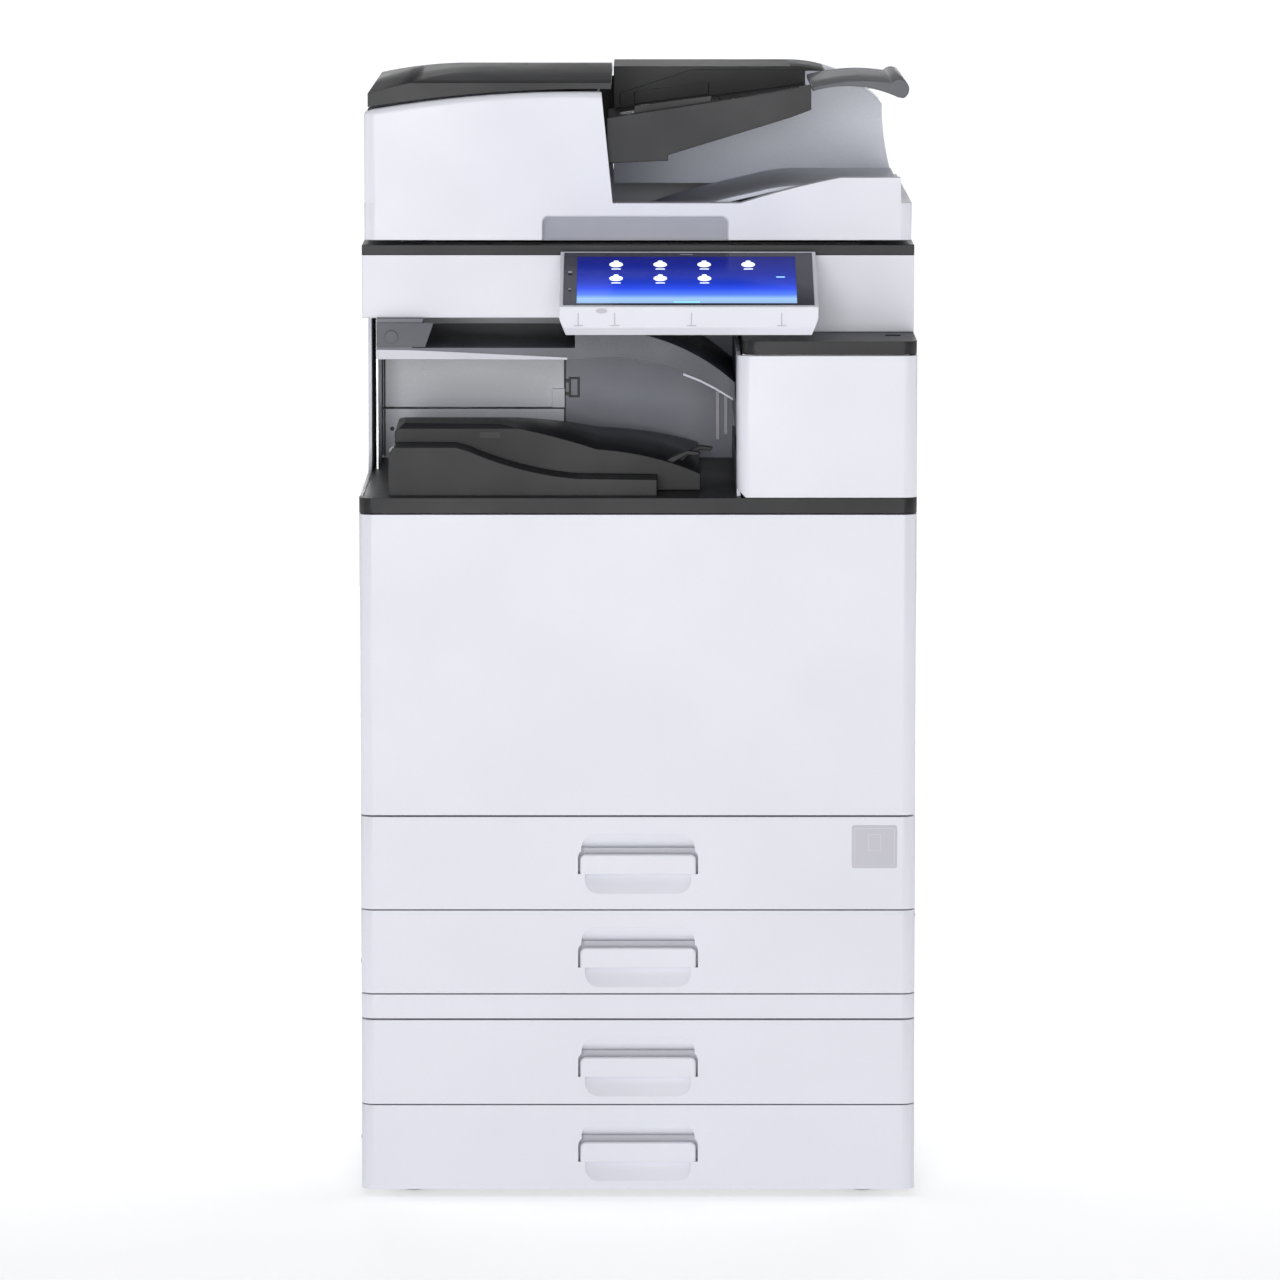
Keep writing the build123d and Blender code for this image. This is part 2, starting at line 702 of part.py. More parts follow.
def adf_feed_roller():
    """Shaft with a wide rubber roller at the mouth of the feeder."""
    return rod(*feed_roller_axis, 4.0, (150.0, 590.0)) + rod(*feed_roller_axis, 12.0, (240.0, 340.0))


# ---- front door, trays and grips ---------------------------------------------------------------
def front_door():
    """Hollow front shell, and the liner that closes its back."""
    bottom, top = door_limits
    inside = half - 2 * wall
    shell = rounded_front(door_limits)
    shell -= block((-inside, inside), (skin, front_thickness), (bottom + skin, top - skin))
    edge = skin + 0.5
    liner = block((-inside + 0.5, inside - 0.5), (front_thickness - wall, front_thickness),
                  (bottom + edge, top - edge))
    return group(shell, liner)


def arched(half_length, z, radius, depth):
    """A bar along X whose two upper corners are rounded as seen from the front."""
    bar = block((-half_length, half_length), depth, z)
    return fillet(bar.edges().filter_by(Axis.Y).group_by(Axis.Z)[-1], radius)


def grip_dip(grip_top):
    """Hollow that starts deep under the grip and runs out below it, with rounded lower corners."""
    high = grip_top - grip_height
    low = high - dip_height
    cut = along([(-1.0, low), (0.0, low), ((2.6, low + 9.0), (dip_depth, high)), (-1.0, high)],
                (-dip_half, dip_half))
    window = block((-dip_half, dip_half), (-1.0, pocket_depth), (low, high + dip_height))
    return cut & fillet(window.edges().filter_by(Axis.Y).group_by(Axis.Z)[0], 15.0)


def finger_scoop(grip_top):
    """Hollow above the grip that leads the fingers down behind it."""
    top = grip_top + scoop_height
    rear = pocket_depth - skin
    cut = along(
        [
            (-1.0, grip_top), (rear, grip_top), (rear, grip_top + finger_gap),
            ((4.5, top - 12.0), (0.0, top)), (-1.0, top),
        ],
        (-scoop_half, scoop_half),
    )
    return cut & arched(scoop_half, (grip_top - 5.0, top), 17.0, (-1.0, pocket_depth))


def tray_front(bottom, top):
    """Front cover with a finger pocket, and the grip bar that covers the pocket."""
    grip_top = top - grip_drop
    pocket = (grip_top - grip_height, grip_top + finger_gap)
    pocket_half = grip_half + side_gap
    shell = rounded_front((bottom, top))
    inside = half - 2 * wall
    shell -= block((-inside, inside), (skin, front_thickness), (bottom + skin, top - skin))
    housing = (pocket[0] - dip_height - 1.0, grip_top + scoop_height + 1.0)
    shell += block((-pocket_half - skin, pocket_half + skin), (skin, front_thickness), housing)
    shell -= arched(pocket_half, pocket, grip_corner + side_gap, (0.0, pocket_depth))
    shell -= finger_scoop(grip_top)
    shell -= grip_dip(grip_top)
    grip = arched(grip_half, (pocket[0], grip_top), grip_corner, (0.0, grip_thickness))
    grip = fillet(grip.edges().filter_by(Axis.X).group_by(Axis.Z)[-1].sort_by(Axis.Y)[0], 2.5)
    for x in ((-grip_half, -grip_half + 5.0), (grip_half - 5.0, grip_half)):
        grip += block(x, (grip_thickness, pocket_depth), (pocket[0], pocket[0] + 10.0))
    return group(shell, grip)


def tray_pan(bottom):
    """Open paper pan behind the front."""
    floor = bottom + 7.0
    rim = floor + pan_height
    pan = block(pan_x, (front_thickness, pan_depth), (floor, rim))
    inside_x = (pan_x[0] + skin, pan_x[1] - skin)
    return pan - block(inside_x, (front_thickness + skin, pan_depth - skin), (floor + skin, rim))


def tray_lift_plate(bottom):
    """Steel plate under the front half of the stack, hinged at its left end."""
    level = bottom + 12.0
    return block((plate_hinge_x, pan_x[1] - 8.0), (60.0, pan_depth - 30.0), (level, level + 1.5))


# ---- print engine ------------------------------------------------------------------------------
def inner_cover():
    """Plate behind the front door, with a round port for the toner bottle."""
    depths = (frame_front + 10.0, frame_front + 10.0 + skin)
    plate = block((-280.0, 268.0), depths, (422.0, 727.0))
    return plate - rod(*toner_axis, toner_radius + 2.0, depths)


def engine_side_plates():
    """Front and rear plates that carry the drum and the fuser's rollers."""
    solids = []
    for depths in engine_plates:
        plate = block((120.0, 262.0), depths, (419.0, 731.0))
        for axis in (drum_axis, hot_axis, pressure_axis):
            plate -= rod(*axis, shaft_radius + running_clearance, depths)
        solids.append(plate)
    return group(*solids)


def roller(axis, radius):
    """A roller with a thinner shaft that reaches through both engine plates."""
    shaft_depths = (engine_plates[0][0] - 2.0, engine_plates[1][1] + 4.0)
    return rod(*axis, radius, roller_depths) + rod(*axis, shaft_radius, shaft_depths)


def exit_roller():
    """Shaft with four soft sleeves just inside the exit slot."""
    shape = rod(*exit_axis, exit_shaft, (60.5, cavity_depth - 0.5))
    for start in (100.0, 180.0, 290.0, 370.0):
        shape += rod(*exit_axis, 9.0, (start, start + 24.0))
    return shape


def toner_bottle():
    """Long round bottle with a grip cap that shows through the inner cover."""
    neck = 62.0
    cap = rod(*toner_axis, toner_radius - 6.0, (34.0, neck))
    return rod(*toner_axis, toner_radius, (neck, 380.0)) + cap


def laser_unit():
    """Closed housing of the laser scanner, under the delivery tray."""
    outline = [(-90.0, 470.0), (110.0, 470.0), (110.0, 520.0), (80.0, 540.0), (-90.0, 540.0)]
    return across(outline, (80.0, 390.0))


# ---- right side --------------------------------------------------------------------------------
def right_door():
    """Thick door over the paper path, with a deep recess that the bypass tray folds into."""
    inner_face = half - 21.0
    door = block((inner_face, half), side_door_depths, (door_limits[0] + gap, door_limits[1] - gap))
    recess_depths = (bypass_depths[0] - 2.0, bypass_depths[1] + 2.0)
    recess_floor = half - bypass_thickness - 4.5
    door -= block((recess_floor, half), recess_depths, (bypass_limits[0] - 4.0, bypass_limits[1] + 2.0))
    hinge_relief = (side_hinge_depth - 6.0, side_door_depths[1])
    return door - block((inner_face, side_hinge_x - 3.0), hinge_relief, door_limits)


def bypass_tray():
    """Flat tray that closes flush with the right door."""
    back = half - bypass_thickness
    rim = 8.0
    tray = block((back, half), bypass_depths, bypass_limits)
    paper_depths = (bypass_depths[0] + rim, bypass_depths[1] - rim)
    paper_limits = (bypass_limits[0] + 12.0, bypass_limits[1] - rim)
    return tray - block((back, back + skin), paper_depths, paper_limits)


def bank_side_door():
    """Thin door beside the two bank trays."""
    return block((half - wall, half), side_door_depths, (30.0, 197.0))


# ---- mains inlet and switch --------------------------------------------------------------------
def power_inlet():
    """Block with a three-pin inlet socket and a well for the rocker switch."""
    body = block(inlet_x, (606.0, body_depth), inlet_z)
    body -= block(inlet_x, (606.0, 620.0), (inlet_z[0], 56.0))
    body -= block(socket_x, (624.0, body_depth), socket_z)
    x, _, z = rocker_centre
    body -= block((x - 12.0, x + 12.0), (626.0, body_depth), (z - 16.0, z + 16.0))
    for offset, height in ((-7.0, 66.0), (7.0, 66.0), (0.0, 70.5)):
        middle = sum(socket_x) / 2 + offset
        body += block((middle - 1.0, middle + 1.0), (624.0, 639.0), (height - 2.0, height + 2.0))
    return body


def power_switch():
    """Rocker that rests pressed at its lower end."""
    x, depth, z = rocker_centre
    half_x, half_z = rocker_half
    lean = math.tan(math.radians(rocker_lean))
    outline = [
        (depth - 4.0, z - 5.0), (depth + 4.0 - lean * half_z, z - half_z),
        (depth + 3.0, z), (depth + 4.0 + lean * half_z, z + half_z), (depth - 4.0, z + 5.0),
    ]
    return along(outline, (x - half_x, x + half_x))


# ---- assembly ----------------------------------------------------------------------------------
def build():
    """Every node by name."""
    nodes = {
        "base_frame": base_frame(),
        "rubber_feet": rubber_feet(),
        "left_cover": left_cover(),
        "right_cover": right_cover(),
        "rear_cover": rear_cover(),
        "bank_front_strip": bank_front_strip(),
        "deck_cover": deck_cover(),
        "upper_right_cover": upper_right_cover(),
        "upper_right_cap": upper_right_cap(),
        "exit_tray": exit_tray(),
        "cavity_rear_panel": cavity_rear_panel(),
        "exit_guides": exit_guides(),
        "one_bin_tray": one_bin_tray(),
        "scanner_case": scanner_case(),
        "scanner_top_frame": scanner_top_frame(),
        "scan_glass": scan_glass(),
        "scanner_carriage": scanner_carriage(),
        "mirror_carriage": mirror_carriage(),
        "panel_housing": panel_housing(),
        "panel_bezel": panel_bezel(),
        "panel_screen": panel_screen(),
        "panel_bracket": panel_bracket(),
        "adf_base": adf_base(),
        "adf_hinge_brackets": adf_hinge_brackets(),
        "adf_left_cover": adf_left_cover(),
        "adf_top_cover": adf_top_cover(),
        "adf_rear_housing": adf_rear_housing(),
        "adf_output_ramp": adf_output_ramp(),
        "platen_cushion": platen_cushion(),
        "adf_input_tray": adf_input_tray(),
        "adf_tray_extension": adf_tray_extension(),
        "adf_side_guide_front": adf_side_guide("front"),
        "adf_side_guide_rear": adf_side_guide("rear"),
        "adf_feed_roller": adf_feed_roller(),
        "front_door": front_door(),
        "inner_cover": inner_cover(),
        "engine_side_plates": engine_side_plates(),
        "photoconductor_drum": roller(drum_axis, drum_radius),
        "fuser_hot_roller": roller(hot_axis, roller_radius),
        "fuser_pressure_roller": roller(pressure_axis, roller_radius),
        "exit_roller": exit_roller(),
        "toner_bottle": toner_bottle(),
        "laser_unit": laser_unit(),
        "right_door": right_door(),
        "bypass_tray": bypass_tray(),
        "bank_side_door": bank_side_door(),
        "power_inlet": power_inlet(),
        "power_switch": power_switch(),
    }
    for number, (bottom, top) in tray_limits.items():
        nodes[f"tray_{number}_front"] = tray_front(bottom, top)
        nodes[f"tray_{number}_pan"] = tray_pan(bottom)
        nodes[f"tray_{number}_lift_plate"] = tray_lift_plate(bottom)
    return nodes


os.makedirs("parts", exist_ok=True)
for name, shape in build().items():
    export_step(shape, f"parts/{name}.step")
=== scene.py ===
"""Looks of a floor-standing photocopier: materials, small moulded details, pale floor, light, camera."""

import json
import math
from collections import namedtuple

import bmesh
import bpy
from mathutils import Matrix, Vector
from mathutils.bvhtree import BVHTree


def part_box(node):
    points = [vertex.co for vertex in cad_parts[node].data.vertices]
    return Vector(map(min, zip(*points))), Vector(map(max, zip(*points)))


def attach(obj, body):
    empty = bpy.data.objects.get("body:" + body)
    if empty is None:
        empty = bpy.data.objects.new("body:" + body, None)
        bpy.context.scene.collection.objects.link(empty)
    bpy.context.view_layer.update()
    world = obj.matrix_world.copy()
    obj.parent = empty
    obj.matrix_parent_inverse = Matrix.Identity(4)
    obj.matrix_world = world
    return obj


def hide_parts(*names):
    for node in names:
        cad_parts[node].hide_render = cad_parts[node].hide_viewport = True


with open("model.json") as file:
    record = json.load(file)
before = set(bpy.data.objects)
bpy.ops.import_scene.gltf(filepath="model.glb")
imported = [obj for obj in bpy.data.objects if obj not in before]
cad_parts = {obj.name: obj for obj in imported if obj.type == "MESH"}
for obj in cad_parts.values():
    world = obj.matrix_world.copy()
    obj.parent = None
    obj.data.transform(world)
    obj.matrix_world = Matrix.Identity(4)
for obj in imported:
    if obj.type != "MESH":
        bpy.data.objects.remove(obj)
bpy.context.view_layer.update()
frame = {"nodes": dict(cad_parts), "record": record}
NODES = frame["nodes"]


# ---- places taken from the frame ---------------------------------------------------------------
DOOR_LOW, DOOR_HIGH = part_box("front_door")
FRONT_Y = DOOR_LOW.y
HALF = DOOR_HIGH.x               # half of the width over the side covers
MM = 0.001


Place = namedtuple("Place", "x depth z")


def in_mm(box):
    """A box's two corners in millimetres, with the depth measured behind the flat front faces."""
    return [Place(corner.x / MM, (corner.y - FRONT_Y) / MM, corner.z / MM) for corner in box]


# ---- node helpers ------------------------------------------------------------------------------
class Graph:
    """Short calls for building one material's nodes."""

    def __init__(self, name):
        self.material = bpy.data.materials.new(name)
        self.material.use_nodes = True
        self.tree = self.material.node_tree
        self.shader = self.tree.nodes["Principled BSDF"]

    def node(self, kind, **settings):
        made = self.tree.nodes.new("ShaderNode" + kind)
        for key, value in settings.items():
            setattr(made, key, value)
        return made

    def link(self, output, target):
        self.tree.links.new(output, target)

    def set(self, **values):
        """Numbers and colours on the shader's own sockets."""
        for key, value in values.items():
            self.shader.inputs[key.replace("_", " ")].default_value = value

    def place(self):
        """Object coordinates, which are metres in the copier's own frame."""
        return self.node("TexCoord").outputs["Object"]

    def noise(self, scale, detail=3.0, roughness=0.5, stretch=(1, 1, 1)):
        mapping = self.node("Mapping")
        mapping.inputs["Scale"].default_value = stretch
        self.link(self.place(), mapping.inputs["Vector"])
        made = self.node("TexNoise")
        made.inputs["Scale"].default_value = scale
        made.inputs["Detail"].default_value = detail
        made.inputs["Roughness"].default_value = roughness
        self.link(mapping.outputs["Vector"], made.inputs["Vector"])
        return made.outputs["Fac"]

    def ramp(self, value, low, high, out_low=0.0, out_high=1.0):
        made = self.node("MapRange")
        made.inputs["From Min"].default_value = low
        made.inputs["From Max"].default_value = high
        made.inputs["To Min"].default_value = out_low
        made.inputs["To Max"].default_value = out_high
        self.link(value, made.inputs["Value"])
        return made.outputs["Result"]

    def mix(self, factor, a, b):
        """Blend of two colours, each a socket or a tuple."""
        made = self.node("Mix", data_type="RGBA")
        self.link(factor, made.inputs["Factor"])
        for socket, colour in ((made.inputs[6], a), (made.inputs[7], b)):
            if isinstance(colour, tuple):
                socket.default_value = (*colour, 1.0)
            else:
                self.link(colour, socket)
        return made.outputs[2]

    def math(self, operation, a, b=None):
        made = self.node("Math", operation=operation)
        for socket, value in zip(made.inputs, (a, b)):
            if isinstance(value, (int, float)):
                socket.default_value = value
            elif value is not None:
                self.link(value, socket)
        return made.outputs[0]

    def edge(self, radius, strength=6.0):
        """Near 1 on sharp edges, 0 on flat faces."""
        bevel = self.node("Bevel", samples=4)
        bevel.inputs["Radius"].default_value = radius
        flat = self.node("NewGeometry").outputs["Normal"]
        dot = self.node("VectorMath", operation="DOT_PRODUCT")
        self.link(bevel.outputs["Normal"], dot.inputs[0])
        self.link(flat, dot.inputs[1])
        return self.ramp(dot.outputs["Value"], 1.0 - 1.0 / strength, 1.0, 1.0, 0.0)

    def bump(self, *layers):
        """Height layers, each (socket, distance), laid over one another as a normal."""
        normal = None
        for height, distance in layers:
            made = self.node("Bump")
            made.inputs["Strength"].default_value = 1.0
            made.inputs["Distance"].default_value = distance
            self.link(height, made.inputs["Height"])
            if normal is not None:
                self.link(normal, made.inputs["Normal"])
            normal = made.outputs["Normal"]
        self.link(normal, self.shader.inputs["Normal"])

    def finish(self, colour, roughness):
        self.link(colour, self.shader.inputs["Base Color"])
        self.link(roughness, self.shader.inputs["Roughness"])
        return self.material


def shade(colour, amount):
    """A colour made lighter or darker by a factor."""
    return tuple(max(0.0, channel * amount) for channel in colour)


# ---- materials ---------------------------------------------------------------------------------
GRAIN = 1400.0                   # spark-eroded grains per metre
GRAIN_DEPTH = 0.00003
WAVE = 14.0                      # slow waves of a moulded face, per metre


def moulded(name, colour, roughness=0.45, depth=GRAIN_DEPTH, wear=1.12, sheen=0.5):
    """Injection-moulded plastic: spark-eroded grain, slow tint changes, rubbed edges."""
    g = Graph(name)
    g.set(Specular_IOR_Level=sheen)
    tint = g.ramp(g.noise(5.0, 2.0), 0.35, 0.65)
    body = g.mix(tint, shade(colour, 0.975), shade(colour, 1.02))
    speck = g.ramp(g.noise(GRAIN, 1.0), 0.45, 0.75)
    body = g.mix(speck, body, shade(colour, 0.97))
    rubbed = g.math("MULTIPLY", g.edge(0.0009), g.ramp(g.noise(60.0, 3.0), 0.4, 0.7))
    body = g.mix(rubbed, body, shade(colour, wear))
    polish = g.ramp(g.noise(9.0, 3.0), 0.3, 0.7, roughness - 0.04, roughness + 0.05)
    g.bump((g.noise(GRAIN, 2.0), depth), (g.noise(WAVE, 1.0), depth * 3))
    return g.finish(body, polish)


def sheet_steel(name, colour=(0.55, 0.56, 0.57)):
    """Zinc-plated sheet: spangle, rolling lines and dull patches."""
    g = Graph(name)
    spangle = g.node("TexVoronoi")
    spangle.inputs["Scale"].default_value = 160.0
    g.link(g.place(), spangle.inputs["Vector"])
    body = g.mix(spangle.outputs["Distance"], shade(colour, 0.85), shade(colour, 1.1))
    lines = g.noise(120.0, 4.0, 0.6, stretch=(1, 1, 25))
    g.set(Metallic=1.0)
    g.bump((lines, 0.00003))
    return g.finish(body, g.ramp(g.noise(20.0, 4.0), 0.3, 0.7, 0.28, 0.5))


def rubber(name, colour=(0.03, 0.03, 0.032), rings=0.0):
    """Ground rubber with a dusty bloom."""
    g = Graph(name)
    dust = g.ramp(g.noise(35.0, 5.0), 0.45, 0.75)
    body = g.mix(dust, colour, shade(colour, 1.9))
    g.bump((g.noise(900.0 + rings, 3.0), 0.00006))
    return g.finish(body, g.ramp(g.noise(30.0, 3.0), 0.3, 0.7, 0.7, 0.9))


def glass(name):
    """Float glass with a faint smear."""
    g = Graph(name)
    g.set(Transmission_Weight=0.95, IOR=1.5)
    body = g.mix(g.noise(8.0), (0.86, 0.93, 0.92), (0.9, 0.95, 0.94))
    return g.finish(body, g.ramp(g.noise(12.0, 4.0), 0.45, 0.7, 0.02, 0.08))


def coated(name, colour, roughness=0.2):
    """Coated roller: fine turning rings and a clear top layer."""
    g = Graph(name)
    rings = g.noise(300.0, 2.0, 0.5, stretch=(0.02, 1, 0.02))
    body = g.mix(rings, shade(colour, 0.85), shade(colour, 1.15))
    g.set(Coat_Weight=0.6, Coat_Roughness=0.1)
    g.bump((rings, 0.00002))
    return g.finish(body, g.ramp(g.noise(25.0, 3.0), 0.3, 0.7, roughness, roughness + 0.12))


def film(name, colour):
    """White film over foam: soft dimples."""
    g = Graph(name)
    body = g.mix(g.noise(40.0, 3.0), shade(colour, 0.97), colour)
    g.bump((g.noise(180.0, 2.0), 0.00015))
    return g.finish(body, g.ramp(g.noise(15.0), 0.3, 0.7, 0.5, 0.62))


SCREEN_LOW, SCREEN_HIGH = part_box("panel_screen")


def screen(name):
    """Lit display: deep blue at the top, bright blue in the middle, a pale bar along the bottom."""
    g = Graph(name)
    split = g.node("SeparateXYZ")
    g.link(g.place(), split.inputs["Vector"])
    along = g.ramp(split.outputs["Y"], SCREEN_LOW.y, SCREEN_HIGH.y)
    ramp = g.node("ValToRGB")
    stops = [(0.0, (0.34, 0.55, 0.9)), (0.10, (0.40, 0.66, 1.0)), (0.18, (0.11, 0.26, 1.0)),
             (0.31, (0.025, 0.08, 0.95)), (0.43, (0.006, 0.035, 0.58)), (0.62, (0.001, 0.014, 0.36)),
             (1.0, (0.0, 0.002, 0.18))]
    ramp.color_ramp.elements[0].position = stops[0][0]
    ramp.color_ramp.elements[1].position = stops[-1][0]
    for position, _ in stops[1:-1]:
        ramp.color_ramp.elements.new(position)
    for element, (_, colour) in zip(ramp.color_ramp.elements, stops):
        element.color = (*colour, 1.0)
    g.link(along, ramp.inputs["Fac"])
    g.link(ramp.outputs["Color"], g.shader.inputs["Emission Color"])
    g.set(Emission_Strength=0.92, Specular_IOR_Level=0.06)
    g.bump((g.noise(600.0, 2.0), 0.000004))
    dim = g.mix(along, (0.01, 0.02, 0.06), (0.005, 0.008, 0.03))
    return g.finish(dim, g.ramp(g.noise(30.0, 3.0), 0.3, 0.7, 0.12, 0.22))


SHEEN = 0.03                     # light that a moulded face mirrors on top of its own colour
DARKEST = 0.007


def tone(*levels):
    """Linear base colour whose surface shows about these 0-255 levels, its own sheen taken off."""
    return tuple(max(DARKEST, (level / 255.0) ** 2.2 - SHEEN) for level in levels)


def graded_plastic(name, low, high, axis, start, end, roughness=0.42):
    """Moulded plastic whose colour grades from one colour to another along an axis of the copier; in the
    delivery cavity this grading is painted shade, darker towards the floor.
    """
    g = Graph(name)
    split = g.node("SeparateXYZ")
    g.link(g.place(), split.inputs["Vector"])
    body = g.mix(g.ramp(split.outputs[axis], start, end), low, high)
    body = g.mix(g.ramp(g.noise(GRAIN, 1.0), 0.4, 0.75, 0.0, 0.4), body, shade(low, 0.9))
    polish = g.ramp(g.noise(9.0, 3.0), 0.3, 0.7, roughness - 0.04, roughness + 0.05)
    g.bump((g.noise(GRAIN, 2.0), GRAIN_DEPTH), (g.noise(WAVE, 1.0), 0.0001))
    return g.finish(body, polish)


HOPPER_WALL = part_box("adf_rear_housing")[0].y
HOUSING_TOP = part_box("adf_rear_housing")[1].z
HOPPER_FLOOR = 1.118             # height above which the housing's inner end is dark
HOPPER_END = 0.062               # X where that dark wall ends


def feeder_plastic(name, low, high, dark):
    """Grey feeder plastic, paler to the right by painted shade that darkens its left part, with the dark
    hopper wall and top of its rear housing.
    """
    g = Graph(name)
    split = g.node("SeparateXYZ")
    g.link(g.place(), split.inputs["Vector"])
    # painted shade: darker to the left, paler to the right
    body = g.mix(g.ramp(split.outputs["X"], -0.01, 0.23), low, high)
    above_tray = g.ramp(split.outputs["Z"], HOPPER_FLOOR - 0.5 * MM, HOPPER_FLOOR + 0.5 * MM)
    inner_end = g.ramp(split.outputs["X"], HOPPER_END + 0.5 * MM, HOPPER_END - 0.5 * MM)
    front = g.ramp(split.outputs["Y"], HOPPER_WALL + 3.0 * MM, HOPPER_WALL + 2.0 * MM)
    hopper = g.math("MULTIPLY", g.math("MULTIPLY", above_tray, inner_end), front)
    top = g.ramp(split.outputs["Z"], HOUSING_TOP - 5.5 * MM, HOUSING_TOP - 4.8 * MM)
    body = g.mix(g.math("MAXIMUM", hopper, top), body, dark)
    body = g.mix(g.ramp(g.noise(GRAIN, 1.0), 0.4, 0.75, 0.0, 0.12), body, dark)
    g.bump((g.noise(GRAIN, 2.0), GRAIN_DEPTH), (g.noise(WAVE, 1.0), 0.0001))
    g.set(Specular_IOR_Level=0.35)
    return g.finish(body, g.ramp(g.noise(9.0, 3.0), 0.3, 0.7, 0.42, 0.5))


def lit(name, colour, strength):
    """Backlit mark on the display, slightly uneven."""
    g = Graph(name)
    glow = g.mix(g.noise(700.0, 2.0), shade(colour, 0.85), colour)
    g.link(glow, g.shader.inputs["Emission Color"])
    g.set(Emission_Strength=strength)
    g.bump((g.noise(900.0, 1.0), 0.000003))
    return g.finish(glow, g.ramp(g.noise(60.0), 0.3, 0.7, 0.15, 0.25))


def clear_plastic(name):
    """Clear moulded sensor flag with faint flow marks."""
    g = Graph(name)
    g.set(Transmission_Weight=0.6, IOR=1.49)
    body = g.mix(g.noise(90.0, 2.0), (0.80, 0.83, 0.88), (0.92, 0.94, 0.97))
    g.bump((g.noise(120.0, 2.0), 0.00003))
    return g.finish(body, g.ramp(g.noise(50.0), 0.3, 0.7, 0.08, 0.2))


WHITE = tone(219, 220, 228)
DARK = (0.019, 0.019, 0.0205)

MATERIALS = {
    "cover_white": moulded("cover_white", WHITE, 0.4, wear=1.04),
    "zinc_steel": sheet_steel("zinc_steel"),
    "foot_rubber": rubber("foot_rubber"),
    "trim_dark": moulded("trim_dark", DARK, 0.4, wear=1.9, sheen=0.22),
    # painted shade: the cavity rear panel and exit guides are darker towards the cavity floor
    "inner_light_grey": graded_plastic(
        "inner_light_grey", tone(214, 216, 228), tone(248, 249, 254), "Z", 0.76, 0.84),
    "inner_blue_grey": graded_plastic(
        "inner_blue_grey", tone(134, 137, 149), tone(142, 145, 158), "Z", 0.76, 0.87),
    # darker towards the right
    "duct_grey": graded_plastic("duct_grey", tone(104, 106, 114), tone(70, 73, 80), "X", -0.14, -0.05),
    # feeder grey: painted shade, darker to the left
    "feeder_grey": feeder_plastic("feeder_grey", tone(212, 216, 231), tone(226, 229, 238), DARK),
    "extension_grey": moulded("extension_grey", tone(100, 101, 105), 0.42, wear=1.3, sheen=0.3),
    "inner_mid_grey": moulded("inner_mid_grey", tone(150, 152, 160), 0.4),
    "platen_glass": glass("platen_glass"),
    "carriage_black": moulded("carriage_black", (0.02, 0.02, 0.022), 0.5, wear=1.8),
    "bezel_black": moulded("bezel_black", tone(72, 73, 82), 0.24, depth=0.00001, wear=1.5, sheen=0.35),
    "screen": screen("screen"),
    "cushion_white": film("cushion_white", (0.82, 0.82, 0.81)),
    "roller_rubber": rubber("roller_rubber", (0.06, 0.06, 0.065), rings=400.0),
    "drum_coating": coated("drum_coating", (0.02, 0.15, 0.19)),
    "fuser_sleeve": coated("fuser_sleeve", (0.10, 0.045, 0.025), 0.3),
    "toner_plastic": moulded("toner_plastic", (0.04, 0.04, 0.045), 0.45, wear=1.6),
}
PLATE_GREY = moulded("plate_grey", tone(188, 187, 196), 0.34, wear=1.1)
PLATE_MARK = moulded("plate_mark", tone(200, 199, 207), 0.34, wear=1.05)
# grey key marks on the bezel, and painted shade at the back of the feeder's finger recess
GREY_MARK_AND_RECESS_SHADE = moulded("grey_mark_and_recess_shade", tone(160, 162, 174), 0.42)
LIP_GREY = moulded("lip_grey", tone(196, 196, 206), 0.38)
BRACKET_GREY = moulded("bracket_grey", tone(100, 100, 107), 0.45, sheen=0.3)
SCREW_STEEL = sheet_steel("screw_steel", (0.5, 0.5, 0.52))
CONTACT_METAL = sheet_steel("contact_metal", (0.62, 0.55, 0.38))
CLEAR = clear_plastic("clear_plastic")
LIT_WHITE = lit("lit_white", (0.86, 0.93, 1.0), 0.9)
LIT_CYAN = lit("lit_cyan", (0.30, 0.75, 0.95), 0.8)


def dress_nodes():
    """Each CAD node takes its slot's material; a small bevel rounds its edges."""
    for entry in frame["record"]["subparts"]:
        node = NODES[entry["node"]]
        node.data.materials.clear()
        node.data.materials.append(MATERIALS[entry["material_slot"]])
        soften(node, EDGE_RADIUS.get(entry["node"], 0.0007))


EDGE_RADIUS = {
    "base_frame": 0.0002, "scan_glass": 0.0002, "panel_screen": 0.0001, "panel_bezel": 0.0003,
    "adf_top_cover": 0.003, "adf_left_cover": 0.003, "adf_rear_housing": 0.0008, "exit_tray": 0.003,
    "one_bin_tray": 0.0015, "panel_housing": 0.003, "front_door": 0.0012, "adf_base": 0.0015,
    "scanner_case": 0.0015, "upper_right_cap": 0.003, "deck_cover": 0.002,
}


def soften(thing, radius):
    """Round the sharp edges of a mesh."""
    weld = thing.modifiers.new("weld", "WELD")
    weld.merge_threshold = 0.00002
    bevel = thing.modifiers.new("bevel", "BEVEL")
    bevel.width = radius
    bevel.segments = 3
    bevel.limit_method = "ANGLE"
    bevel.angle_limit = math.radians(38)
    bevel.harden_normals = True
    bevel.use_clamp_overlap = True


# ---- mesh helpers for the pieces ---------------------------------------------------------------
def at(x, depth, z):
    """A place in millimetres, its depth measured behind the flat front faces."""
    return Vector((x * MM, FRONT_Y + depth * MM, z * MM))


def front_face(depth):
    """Plan (X, Z) on a vertical face that looks to the front; the third number stands out of it."""
    return lambda a, b, out: at(a, depth - out, b)


def rear_face(depth):
    """Plan (X, Z) on a vertical face that looks to the rear."""
    return lambda a, b, out: at(a, depth + out, b)


def side_face(x, outward):
    """Plan (depth, Z) on a vertical face that looks to the left (-1) or to the right (1)."""
    return lambda a, b, out: at(x + outward * out, a, b)


